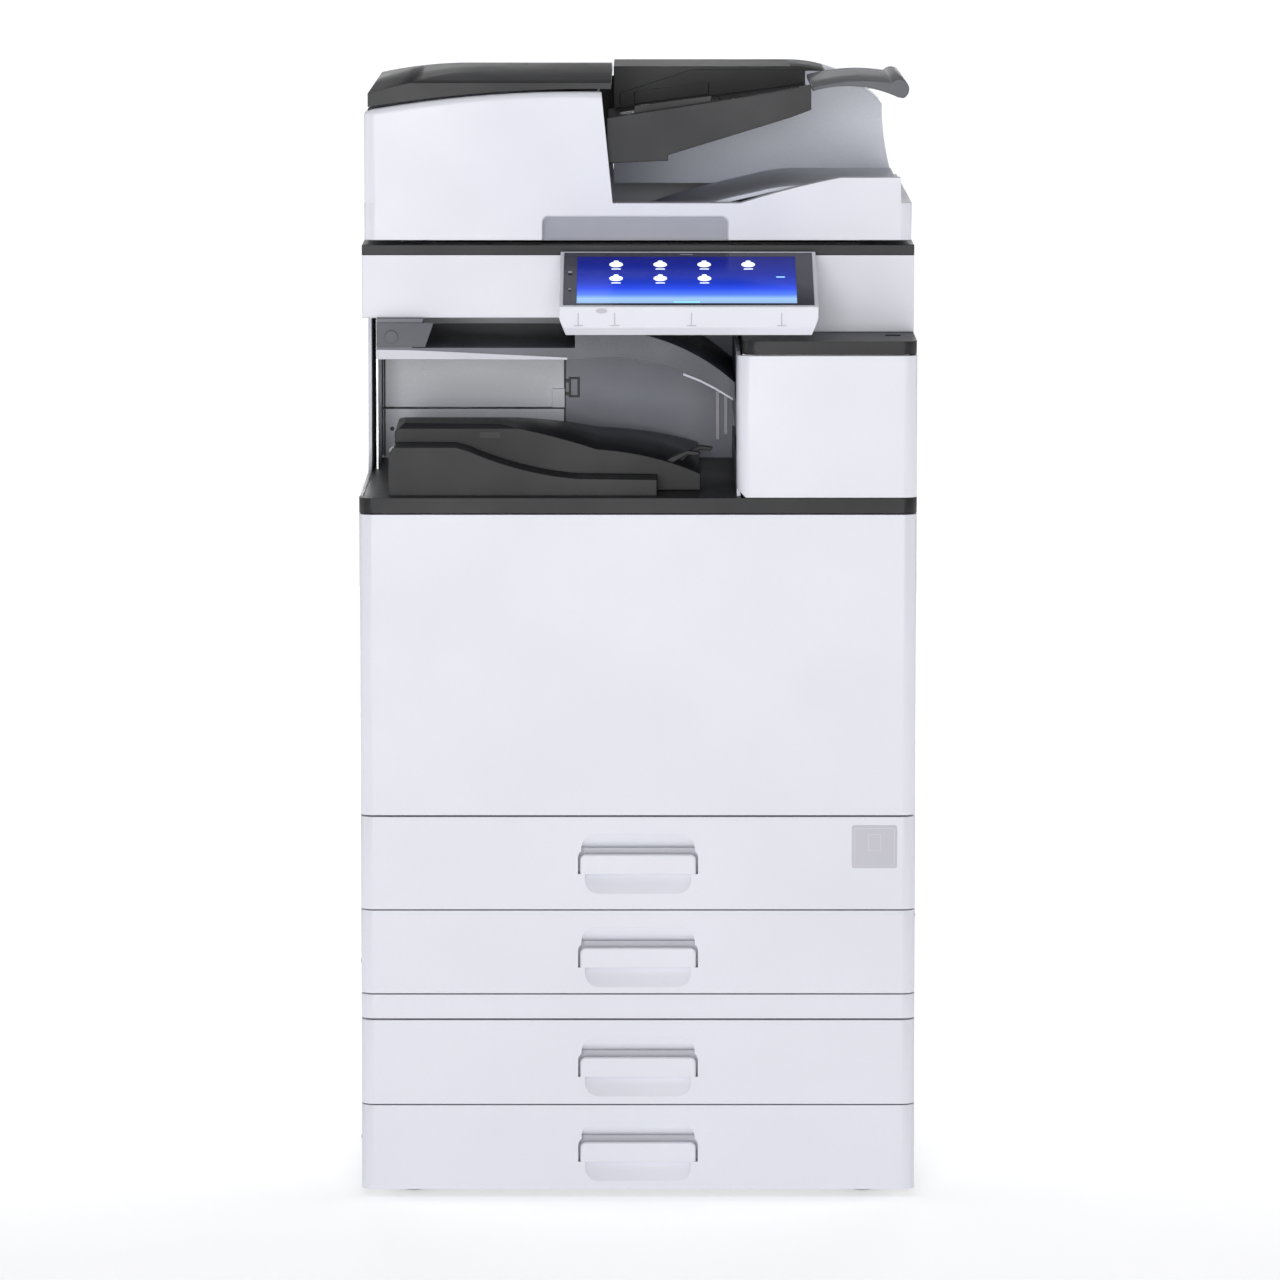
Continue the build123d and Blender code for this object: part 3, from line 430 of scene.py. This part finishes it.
def prism(mesh, outline, low, high, place):
    """A closed prism over a plan outline, between two heights over the face that `place` gives."""
    under = [mesh.verts.new(place(a, b, low)) for a, b in outline]
    over = [mesh.verts.new(place(a, b, high)) for a, b in outline]
    mesh.faces.new(under[::-1])
    mesh.faces.new(over)
    for k, (a, b) in enumerate(zip(under, over)):
        after = (k + 1) % len(under)
        mesh.faces.new((a, under[after], over[after], b))


def dome(mesh, centre, radius, height, place, rings=4, sides=20):
    """A shallow round head, such as a screw's."""
    rows = []
    for ring in range(rings):
        angle = math.pi / 2 * ring / rings
        reach, rise = radius * math.cos(angle), height * math.sin(angle)
        rows.append([mesh.verts.new(place(centre[0] + reach * math.cos(math.tau * k / sides),
                                          centre[1] + reach * math.sin(math.tau * k / sides), rise))
                     for k in range(sides)])
    top = mesh.verts.new(place(centre[0], centre[1], height))
    mesh.faces.new(rows[0][::-1])
    for k in range(sides):
        after = (k + 1) % sides
        for lower, upper in zip(rows, rows[1:]):
            mesh.faces.new((lower[k], lower[after], upper[after], upper[k]))
        mesh.faces.new((rows[-1][k], rows[-1][after], top))


def box_outline(x0, x1, z0, z1):
    """Outline of a plain rectangle."""
    return [(x0, z0), (x1, z0), (x1, z1), (x0, z1)]


def rounded(x0, x1, z0, z1, radius, steps=5):
    """Outline of a rectangle with rounded corners."""
    points = []
    corners = ((x1 - radius, z1 - radius), (x0 + radius, z1 - radius), (x0 + radius, z0 + radius),
               (x1 - radius, z0 + radius))
    for quarter, (x, z) in enumerate(corners):
        for step in range(steps + 1):
            angle = math.pi / 2 * (quarter + step / steps)
            points.append((x + radius * math.cos(angle), z + radius * math.sin(angle)))
    return points


def disc(x, z, radius_x, radius_z=None, steps=24):
    radius_z = radius_z or radius_x
    return [(x + radius_x * math.cos(math.tau * k / steps), z + radius_z * math.sin(math.tau * k / steps))
            for k in range(steps)]


def frame_outline(mesh, x0, x1, z0, z1, width, low, high, place):
    """Four mitred bars around a rectangle."""
    outer = box_outline(x0, x1, z0, z1)
    inner = box_outline(x0 + width, x1 - width, z0 + width, z1 - width)
    for k in range(4):
        after = (k + 1) % 4
        prism(mesh, [outer[k], outer[after], inner[after], inner[k]], low, high, place)


def as_piece(name, mesh_data, body, material, edge=0.0):
    """A finished bmesh as an object that rides on a body."""
    bmesh.ops.recalc_face_normals(mesh_data, faces=mesh_data.faces)
    mesh = bpy.data.meshes.new(name)
    mesh_data.to_mesh(mesh)
    mesh_data.free()
    mesh.materials.append(material)
    piece = bpy.data.objects.new(name, mesh)
    bpy.context.scene.collection.objects.link(piece)
    if edge:
        soften(piece, edge)
    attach(piece, body)
    return piece


# ---- control panel -----------------------------------------------------------------------------
PANEL_SLOPE = math.radians(17.5)  # the display's lean from level
MARK = (0.02, 0.12)              # lower and upper side of a mark, over the glass
KEY_MARK = (1.3, 1.55)           # the same over the raised bezel


def on_screen():
    """Plan coordinates on the display's sloping face, and its width and length in millimetres."""
    run = SCREEN_HIGH.y - SCREEN_LOW.y
    length = run / math.cos(PANEL_SLOPE) / MM
    corner = Vector((SCREEN_LOW.x, SCREEN_LOW.y, SCREEN_HIGH.z - run * math.tan(PANEL_SLOPE)))
    up = Vector((0.0, math.cos(PANEL_SLOPE), math.sin(PANEL_SLOPE)))
    out = Vector((0.0, -math.sin(PANEL_SLOPE), math.cos(PANEL_SLOPE)))
    across = Vector((1.0, 0.0, 0.0))

    def place(a, b, lift):
        return corner + (across * a + up * b + out * lift) * MM

    return place, (SCREEN_HIGH.x - SCREEN_LOW.x) / MM, length


def make_screen_marks():
    """Generic glowing symbols, each a disc with a knob above and a bar below, and two short bars."""
    place, width, length = on_screen()
    first, pitch = 0.178 * width, 0.202 * width
    upper_row, lower_row = 0.83 * length, 0.53 * length
    symbols = bmesh.new()
    for y, count in ((upper_row, 4), (lower_row, 3)):
        for k in range(count):
            x = first + pitch * k
            prism(symbols, disc(x, y, 7.2, 7.6), *MARK, place)
            prism(symbols, rounded(x - 5.0, x + 5.0, y - 14.0, y - 11.5, 1.0), *MARK, place)
            prism(symbols, rounded(x - 2.5, x + 2.5, y + 6.0, y + 11.0, 1.5), *MARK, place)
    as_piece("screen_symbols", symbols, "panel", LIT_WHITE)
    bars = bmesh.new()
    prism(bars, rounded(width * 0.44, width * 0.56, 2.0, 5.5, 1.0), *MARK, place)
    prism(bars, rounded(width * 0.91, width * 0.95, length * 0.55, length * 0.57, 0.5), *MARK, place)
    as_piece("screen_bars", bars, "panel", LIT_CYAN)


def make_panel_trim():
    """Energy key and mould notches on the front face, and grey key marks on the bezel."""
    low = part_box("panel_housing")[0]
    upper_edge = low.z / MM + 31.0
    lean = 4.0 / 22.0

    def face(a, b, out):
        """Plan (X, distance below the upper front edge) on the leaning front face."""
        return Vector((low.x + a * MM, low.y + (b * lean - out) * MM, (upper_edge - b) * MM))

    key = bmesh.new()
    prism(key, disc(44.0, 4.5, 6.0, 2.6), -0.2, 0.8, face)
    as_piece("panel_key", key, "panel", PLATE_GREY, edge=0.0002)
    notches = bmesh.new()
    for x in (19.0, 57.0, 137.0, 231.0):
        prism(notches, rounded(x, x + 1.4, 6.0, 20.0, 0.6), -0.1, 0.25, face)
        prism(notches, rounded(x - 4.0, x + 6.0, 19.2, 20.6, 0.6), -0.1, 0.25, face)
    as_piece("panel_notches", notches, "panel", PLATE_GREY)
    place, width, length = on_screen()
    middle = width / 2
    marks = bmesh.new()
    prism(marks, disc(-7.5, length * 0.28, 1.6), *KEY_MARK, place)
    prism(marks, rounded(-9.5, -5.5, length * 0.62, length * 0.66, 0.8), *KEY_MARK, place)
    prism(marks, rounded(middle - 7.0, middle + 7.0, length + 2.2, length + 3.4, 0.5), *KEY_MARK, place)
    as_piece("bezel_marks", marks, "panel", GREY_MARK_AND_RECESS_SHADE)


# ---- tray fronts and covers --------------------------------------------------------------------
def make_size_plate():
    """Small rounded plate near the first tray's right end, with a plain sheet-of-paper symbol."""
    tray_top = in_mm(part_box("tray_1_front"))[1].z
    x0, x1, z0, z1 = 226.0, 273.7, tray_top - 54.5, tray_top - 9.0
    face = front_face(0.0)
    rim, line, raised = 2.5, 0.9, (0.6, 1.0)
    plate = bmesh.new()
    prism(plate, rounded(x0, x1, z0, z1, rim), -0.3, 0.7, face)
    as_piece("size_plate", plate, "tray_1", PLATE_GREY, edge=0.0003)
    marks = bmesh.new()
    frame_outline(marks, x0 + rim, x1 - rim, z0 + rim, z1 - rim, line, *raised, face)
    frame_outline(marks, x0 + 17.0, x1 - 17.0, z0 + 18.5, z1 - 9.0, line, *raised, face)
    as_piece("size_plate_marks", marks, "tray_1", PLATE_MARK)


def cross_recess(mesh, centre, reach, place):
    """Two dark bars that cross on a screw's head: painted shade in its cross recess."""
    x, z = centre
    bar = reach * 0.3
    for outline in (box_outline(x - reach, x + reach, z - bar, z + bar),
                    box_outline(x - bar, x + bar, z - reach, z + reach)):
        prism(mesh, outline, 1.2, 1.85, place)


def make_screws():
    """Pan-head screws that hold the rear and side covers."""
    column, upper_foot, upper_head = 272.0, 134.0, 886.0
    rear_spots = [(x, z) for x in (-column, column) for z in (upper_foot, 380.0, 600.0, upper_head)]
    rear_spots += [(x, z) for z in (104.0, 28.0) for x in (-column, column)]
    rear_spots += [(0.0, upper_foot), (0.0, upper_head)]
    left_spots = [(48.0, 60.0), (610.0, 60.0), (610.0, 260.0), (610.0, 700.0), (48.0, 250.0), (340.0, 915.0)]
    right_spots = [(620.0, 60.0), (620.0, 400.0), (620.0, 730.0), (48.0, 300.0), (450.0, 300.0)]
    heads, cross_shades = bmesh.new(), bmesh.new()
    for place, spots in ((rear_face(in_mm(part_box("rear_cover"))[1].depth), rear_spots),
                         (side_face(-HALF / MM, -1), left_spots),
                         (side_face(HALF / MM, 1), right_spots)):
        for spot in spots:
            dome(heads, spot, 4.0, 1.8, place)
            # painted shade: dark bars for the shade in each head's cross recess
            cross_recess(cross_shades, spot, 1.7, place)
    as_piece("cover_screws", heads, "cabinet", SCREW_STEEL)
    as_piece("cover_screw_recess_shade", cross_shades, "cabinet", MATERIALS["carriage_black"])


def make_mains_contacts():
    """Plated sleeves over the inlet's three pins."""
    socket_x, pin_foot, pin_length = -227.75, 625.3, 14.0
    half_width, half_height = 1.15, 2.15
    sleeves = bmesh.new()
    for offset, z in ((-7.0, 66.0), (7.0, 66.0), (0.0, 70.5)):
        x = socket_x + offset
        outline = rounded(x - half_width, x + half_width, z - half_height, z + half_height, 0.5)
        prism(sleeves, outline, 0.0, pin_length, rear_face(pin_foot))
    as_piece("mains_contacts", sleeves, "cabinet", CONTACT_METAL)


# ---- feeder ------------------------------------------------------------------------------------
COVER_WALL = 4.0                 # thickness of the feeder's moulded walls


def make_recess_shade_sheet():
    """Blue-grey sheet of painted shade at the back of the finger recess under the feeder's front."""
    foot = in_mm(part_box("adf_base"))[0].z
    left, right, height, back = -101.0, 95.0, 25.4, 140.0
    corners = rounded(left, right, foot - 8.0, foot + height, 6.5)
    outline = [point for point in corners if point[1] > foot]
    outline += [(left, foot + 0.4), (right, foot + 0.4)]
    shade_sheet = bmesh.new()
    prism(shade_sheet, outline, 0.05, 0.6, front_face(back))
    as_piece("recess_shade_sheet", shade_sheet, "feeder", GREY_MARK_AND_RECESS_SHADE)


INPUT_TRAY_START = in_mm(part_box("adf_input_tray"))[0].x
INPUT_FLOOR_START = 1134.0
INPUT_FLOOR_SLOPE = 0.132


def input_floor(x):
    """Height of the input tray's sloping floor, in millimetres."""
    return INPUT_FLOOR_START + (x - INPUT_TRAY_START) * INPUT_FLOOR_SLOPE


def on_input_floor(a, b, out):
    """Plan (X, depth) on the input tray's floor."""
    return at(a, b, input_floor(a) + out)


def make_input_tray_details():
    """Low ribs at the tray's outer end and a clear sheet feeler at its inner end."""
    ribs = bmesh.new()
    rib_start, rib_end, rib_width = 88.0, 176.0, 4.0
    for depth in (205.0, 250.0, 296.0, 342.0, 388.0):
        outline = rounded(rib_start, rib_end, depth, depth + rib_width, 1.9)
        prism(ribs, outline, -0.3, 1.4, on_input_floor)
    as_piece("input_tray_ribs", ribs, "input_tray", MATERIALS["trim_dark"], edge=0.0004)
    feeler = bmesh.new()
    prism(feeler, rounded(-20.0, 14.0, 295.0, 305.0, 3.0), 0.3, 3.0, on_input_floor)
    prism(feeler, rounded(2.0, 12.0, 297.5, 302.5, 2.0), 2.8, 8.0, on_input_floor)
    as_piece("sheet_feeler", feeler, "input_tray", CLEAR, edge=0.0005)


def make_feeder_end_plate():
    """Dark plate behind the paper tray's inner end, closing the wedge beside the rear housing."""
    right = in_mm(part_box("adf_rear_housing"))[0].x - 0.3
    left = right - 15.7
    rear_wall = in_mm(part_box("adf_left_cover"))[1].depth - COVER_WALL
    plate = bmesh.new()
    prism(plate, box_outline(left, right, 1064.0, 1163.0), 0.0, 2.0, front_face(rear_wall))
    as_piece("feeder_end_plate", plate, "feeder", MATERIALS["trim_dark"], edge=0.0004)


def make_rear_strips():
    """White strip between the rear cover and the scanner, and a ledge behind the feeder's lid."""
    foot = in_mm(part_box("rear_cover"))[1].z + 0.6
    head = in_mm(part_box("base_frame"))[1].z - 0.6
    end = in_mm(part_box("upper_right_cover"))[0].x - 0.6
    strip = bmesh.new()
    prism(strip, rounded(-289.0, end, foot, head, 0.8), 0.0, 3.6, rear_face(638.2))
    as_piece("rear_upper_strip", strip, "cabinet", MATERIALS["cover_white"], edge=0.0006)
    right, thickness, back = -46.0, 3.0, 615.6
    ledge = bmesh.new()
    for left, foot, front in ((-281.0, 1146.0, 607.0), (-192.0, 1157.0, 594.0)):
        outline = box_outline(left, right, foot, foot + thickness)
        prism(ledge, outline, 0.0, back - front, rear_face(front))
    as_piece("lid_rear_ledge", ledge, "feeder", MATERIALS["trim_dark"], edge=0.0004)


def surface_height(node, x, depth):
    """Z, in millimetres, of a node's upper surface at a place in plan."""
    tree = BVHTree.FromObject(NODES[node], bpy.context.evaluated_depsgraph_get())
    hit = tree.ray_cast(at(x, depth, 1400.0), Vector((0.0, 0.0, -1.0)))
    return hit[0].z / MM


def make_top_cover_details():
    """A small round mark and a slot near the lid's right end."""
    depth, reach = 330.0, 5.0
    marks = bmesh.new()
    for x, outline in ((-122.0, disc(0.0, 0.0, 3.2)), (-62.0, rounded(-9.0, 9.0, -2.0, 2.0, 1.8))):
        height = surface_height("adf_top_cover", x, depth)
        lean = (surface_height("adf_top_cover", x + reach, depth) - height) / reach

        def on_lid(a, b, out, x=x, height=height, lean=lean):
            return at(x + a, depth + b, height + a * lean + out)

        prism(marks, outline, -0.6, 0.25, on_lid)
    as_piece("lid_marks", marks, "feeder_top_cover", MATERIALS["carriage_black"])


def make_platen_pad():
    """White film over foam: a soft-edged, slightly crowned pad in place of the plain solid."""
    low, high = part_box("platen_cushion")
    size = high - low
    columns, rows = 36, 26
    rim_sharpness = 14               # how soon the crown rises from the rim
    pad = bmesh.new()

    def grid_at(z, inset, crown):
        """A grid of vertices over the pad, drawn in at its rim and sagging by up to the crown."""
        grid = []
        for j in range(rows + 1):
            line = []
            for i in range(columns + 1):
                u, v = i / columns, j / rows
                bulge = crown * min(1.0, rim_sharpness * min(u, 1 - u, v, 1 - v)) ** 0.5
                line.append(pad.verts.new((low.x + inset + (size.x - 2 * inset) * u,
                                           low.y + inset + (size.y - 2 * inset) * v, z - bulge)))
            grid.append(line)
        return grid

    upper = grid_at(high.z, inset=0.0, crown=0.0)
    lower = grid_at(low.z + 0.0009, inset=0.0012, crown=0.0008)
    for grid in (upper, lower):
        for j in range(rows):
            for i in range(columns):
                pad.faces.new((grid[j][i], grid[j][i + 1], grid[j + 1][i + 1], grid[j + 1][i]))
    for a, b in border_pairs(upper, lower):
        pad.faces.new((a[0], a[1], b[1], b[0]))
    for face in pad.faces:
        face.smooth = True
    piece = as_piece("platen_pad", pad, "feeder", MATERIALS["cushion_white"], edge=0.0006)
    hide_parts("platen_cushion")


def border_pairs(upper, lower):
    """Matching edges around the rims of two grids."""
    def rim(grid):
        right = [line[-1] for line in grid]
        left = [line[0] for line in grid]
        return grid[0] + right[1:] + grid[-1][::-1][1:] + left[::-1][1:]

    above, below = rim(upper), rim(lower)
    return [((above[k], above[k + 1]), (below[k], below[k + 1])) for k in range(len(above) - 1)]


# ---- delivery cavity ---------------------------------------------------------------------------
LATCH_DEPTH = 6.0                # how far the rear panel's own latch stands out of it
PANEL_FACE = in_mm(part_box("cavity_rear_panel"))[0].depth + LATCH_DEPTH
CAVITY_FLOOR = 752.0


def make_upper_tray_trim():
    """Light lip along the upper delivery tray, and the grey bracket at its left end."""
    lip = bmesh.new()
    profile = [(-278.0, 887.0), (-75.0, 886.4), (-75.0, 889.0), (-240.0, 897.0), (-278.0, 897.5)]
    prism(lip, profile, 0.0, 1.6, front_face(110.0))
    as_piece("upper_tray_lip", lip, "cabinet", LIP_GREY, edge=0.0006)
    face = front_face(108.6)
    bracket = bmesh.new()
    prism(bracket, [(-277.0, 900.0), (-226.0, 900.0), (-217.0, 926.0), (-277.0, 926.0)], 0.0, 1.2, face)
    prism(bracket, disc(-262.0, 911.0, 7.0), 1.2, 3.2, face)
    as_piece("upper_tray_bracket", bracket, "cabinet", BRACKET_GREY, edge=0.0006)


def make_rear_wall_details():
    """Seams, a round plug and a latch in the cavity's rear wall, and two pale ribs at the exit."""
    face = front_face(PANEL_FACE)
    black = MATERIALS["carriage_black"]
    seams = bmesh.new()
    for left, right, head in ((-281.0, -279.2, 885.0), (-82.0, -80.4, 868.0)):
        prism(seams, box_outline(left, right, CAVITY_FLOOR, head), 0.0, 0.6, face)
    prism(seams, disc(-272.0, 782.0, 2.4), 0.0, 0.5, face)
    as_piece("rear_panel_seams", seams, "cabinet", black)
    left, right, foot, head = -76.5, -64.5, 817.0, 839.5
    latch = bmesh.new()
    frame_outline(latch, left, right, foot, head, 2.4, 0.0, 2.0, face)
    for z in (foot + 2.0, head - 6.0):
        prism(latch, box_outline(-80.4, left + 0.5, z, z + 4.0), 0.0, 1.6, face)
    as_piece("rear_panel_latch", latch, "cabinet", black, edge=0.0004)
    ribs = bmesh.new()
    for x, foot, head in ((86.0, 770.0, 842.0), (95.0, 776.0, 838.0)):
        prism(ribs, rounded(x, x + 4.0, foot, head, 1.5), 0.0, 3.0, face)
    as_piece("exit_guide_ribs", ribs, "cabinet", LIP_GREY, edge=0.0005)


def make_duct_edge():
    """Light edge strip under the end of the curved duct."""
    width = 2.6
    lower = [(48.0, 869.8), (66.0, 862.8), (82.0, 854.5), (101.0, 843.0)]
    outline = lower + [(x, z + width) for x, z in reversed(lower)]
    strip = bmesh.new()
    prism(strip, outline, 0.0, 1.4, front_face(110.0))
    as_piece("duct_edge", strip, "cabinet", LIP_GREY, edge=0.0004)


def make_exit_tray_details():
    """Two sheet feelers on the falling end of the tray, and a dark plate of painted shade in the notch on
    its crest.
    """
    arm = [(18.0, 768.0), (34.0, 784.0), (52.0, 792.0), (66.0, 790.0), (64.0, 786.0), (52.0, 787.0),
           (38.0, 779.0), (26.0, 766.0)]
    feelers = bmesh.new()
    for shift, depth in ((0.0, 96.0), (14.0, 150.0)):
        prism(feelers, [(x + shift, z) for x, z in arm], 0.0, 8.0, front_face(depth))
    as_piece("exit_feelers", feelers, "cabinet", MATERIALS["trim_dark"], edge=0.001)
    # painted shade: a dark plate in the notch on the crest
    mark = bmesh.new()
    prism(mark, rounded(-168.0, -146.0, 806.0, 812.0, 2.0), -0.2, 0.5, front_face(80.0))
    as_piece("crest_notch_shade", mark, "cabinet", MATERIALS["carriage_black"])


# ---- stage, light and camera -------------------------------------------------------------------
FLOOR_REACH = 14.0
GLOW_CENTRE = (0.0, -2.0, 0.0)   # a place on the floor in front of the copier
GLOW_DISTANCES = (1.5, 3.6)      # metres from there to the nearer and the stronger glow
FLOOR_GLOW_NEAR = 0.34
FLOOR_GLOW_FAR = 0.8
ROOM_TINT = (0.965, 0.97, 1.0)
ROOM_LEVEL = 0.26                # what the room lights with
ROOM_SEEN_LEVEL = 1.1            # what the camera sees of it
LAMP_AIM = (0.0, 0.0, 0.8)
LAMPS = {                        # place and size in metres, power in watts
    "front": ((-0.3, -6.2, 1.25), (2.2, 1.8), 160.0),
    "top": ((0.0, -0.3, 4.4), (3.6, 3.6), 26.0),
    "left": ((-4.4, 0.2, 1.7), (2.5, 2.5), 34.0),
    "right": ((4.4, 0.2, 1.7), (2.5, 2.5), 28.0),
    "back": ((0.4, 5.2, 0.9), (3.4, 1.4), 84.0),
}
CAMERA_DISTANCE = 8.0
CAMERA_ELEVATION = math.radians(7.1)
AIM = Vector((0.0021, FRONT_Y, 0.600))
FRAME_WIDTH_AT_AIM = 1.3478      # metres of the front plane that the picture is wide


def make_floor():
    """Pale paper that glows more the farther it lies from the front, so that no horizon shows."""
    g = Graph("floor_paper")
    body = g.mix(g.noise(0.6, 2.0), (0.955, 0.955, 0.96), (0.97, 0.97, 0.97))
    away = g.node("VectorMath", operation="DISTANCE")
    away.inputs[1].default_value = GLOW_CENTRE
    g.link(g.place(), away.inputs[0])
    glow = g.ramp(away.outputs["Value"], *GLOW_DISTANCES, FLOOR_GLOW_NEAR, FLOOR_GLOW_FAR)
    g.link(glow, g.shader.inputs["Emission Strength"])
    g.set(Emission_Color=(1.0, 1.0, 1.0, 1.0))
    g.bump((g.noise(40.0, 2.0), 0.0001))
    material = g.finish(body, g.ramp(g.noise(3.0), 0.3, 0.7, 0.75, 0.85))
    mesh = bpy.data.meshes.new("floor")
    corners = [(x * FLOOR_REACH, y * FLOOR_REACH, 0) for x, y in ((-1, -1), (1, -1), (1, 1), (-1, 1))]
    mesh.from_pydata(corners, [], [(0, 1, 2, 3)])
    floor = bpy.data.objects.new("floor", mesh)
    floor.data.materials.append(material)
    bpy.context.scene.collection.objects.link(floor)


def area_light(name, place, aim, size, power):
    """A rectangular lamp of so many metres and watts, turned towards a place."""
    data = bpy.data.lights.new(name, "AREA")
    data.shape = "RECTANGLE"
    data.size, data.size_y = size
    data.energy = power
    light = bpy.data.objects.new(name, data)
    light.location = place
    light.rotation_euler = (Vector(aim) - Vector(place)).to_track_quat("-Z", "Y").to_euler()
    bpy.context.scene.collection.objects.link(light)


def make_light():
    """An even pale room that is white where the camera sees it, and soft lamps around the copier."""
    world = bpy.data.worlds.new("soft_room")
    bpy.context.scene.world = world
    world.use_nodes = True
    nodes, links = world.node_tree.nodes, world.node_tree.links
    background = nodes["Background"]
    background.inputs["Color"].default_value = (*ROOM_TINT, 1.0)
    seen = nodes.new("ShaderNodeLightPath")
    level = nodes.new("ShaderNodeMapRange")
    level.inputs["To Min"].default_value = ROOM_LEVEL
    level.inputs["To Max"].default_value = ROOM_SEEN_LEVEL
    links.new(seen.outputs["Is Camera Ray"], level.inputs["Value"])
    links.new(level.outputs["Result"], background.inputs["Strength"])
    for name, (place, size, power) in LAMPS.items():
        area_light(name, place, LAMP_AIM, size, power)


def make_camera():
    """The photograph's low frontal view through a long lens."""
    data = bpy.data.cameras.new("camera")
    data.sensor_width = 36.0
    data.lens = data.sensor_width * CAMERA_DISTANCE / FRAME_WIDTH_AT_AIM
    camera = bpy.data.objects.new("camera", data)
    back = Vector((0.0, -math.cos(CAMERA_ELEVATION), math.sin(CAMERA_ELEVATION)))
    camera.location = AIM + CAMERA_DISTANCE * back
    camera.rotation_euler = (-back).to_track_quat("-Z", "Y").to_euler()
    bpy.context.scene.collection.objects.link(camera)
    bpy.context.scene.camera = camera


bpy.context.scene.view_settings.view_transform = "Standard"
dress_nodes()
make_screen_marks()
make_panel_trim()
make_size_plate()
make_screws()
make_mains_contacts()
make_recess_shade_sheet()
make_input_tray_details()
make_feeder_end_plate()
make_rear_strips()
make_top_cover_details()
make_platen_pad()
make_upper_tray_trim()
make_rear_wall_details()
make_duct_edge()
make_exit_tray_details()
make_floor()
make_light()
make_camera()
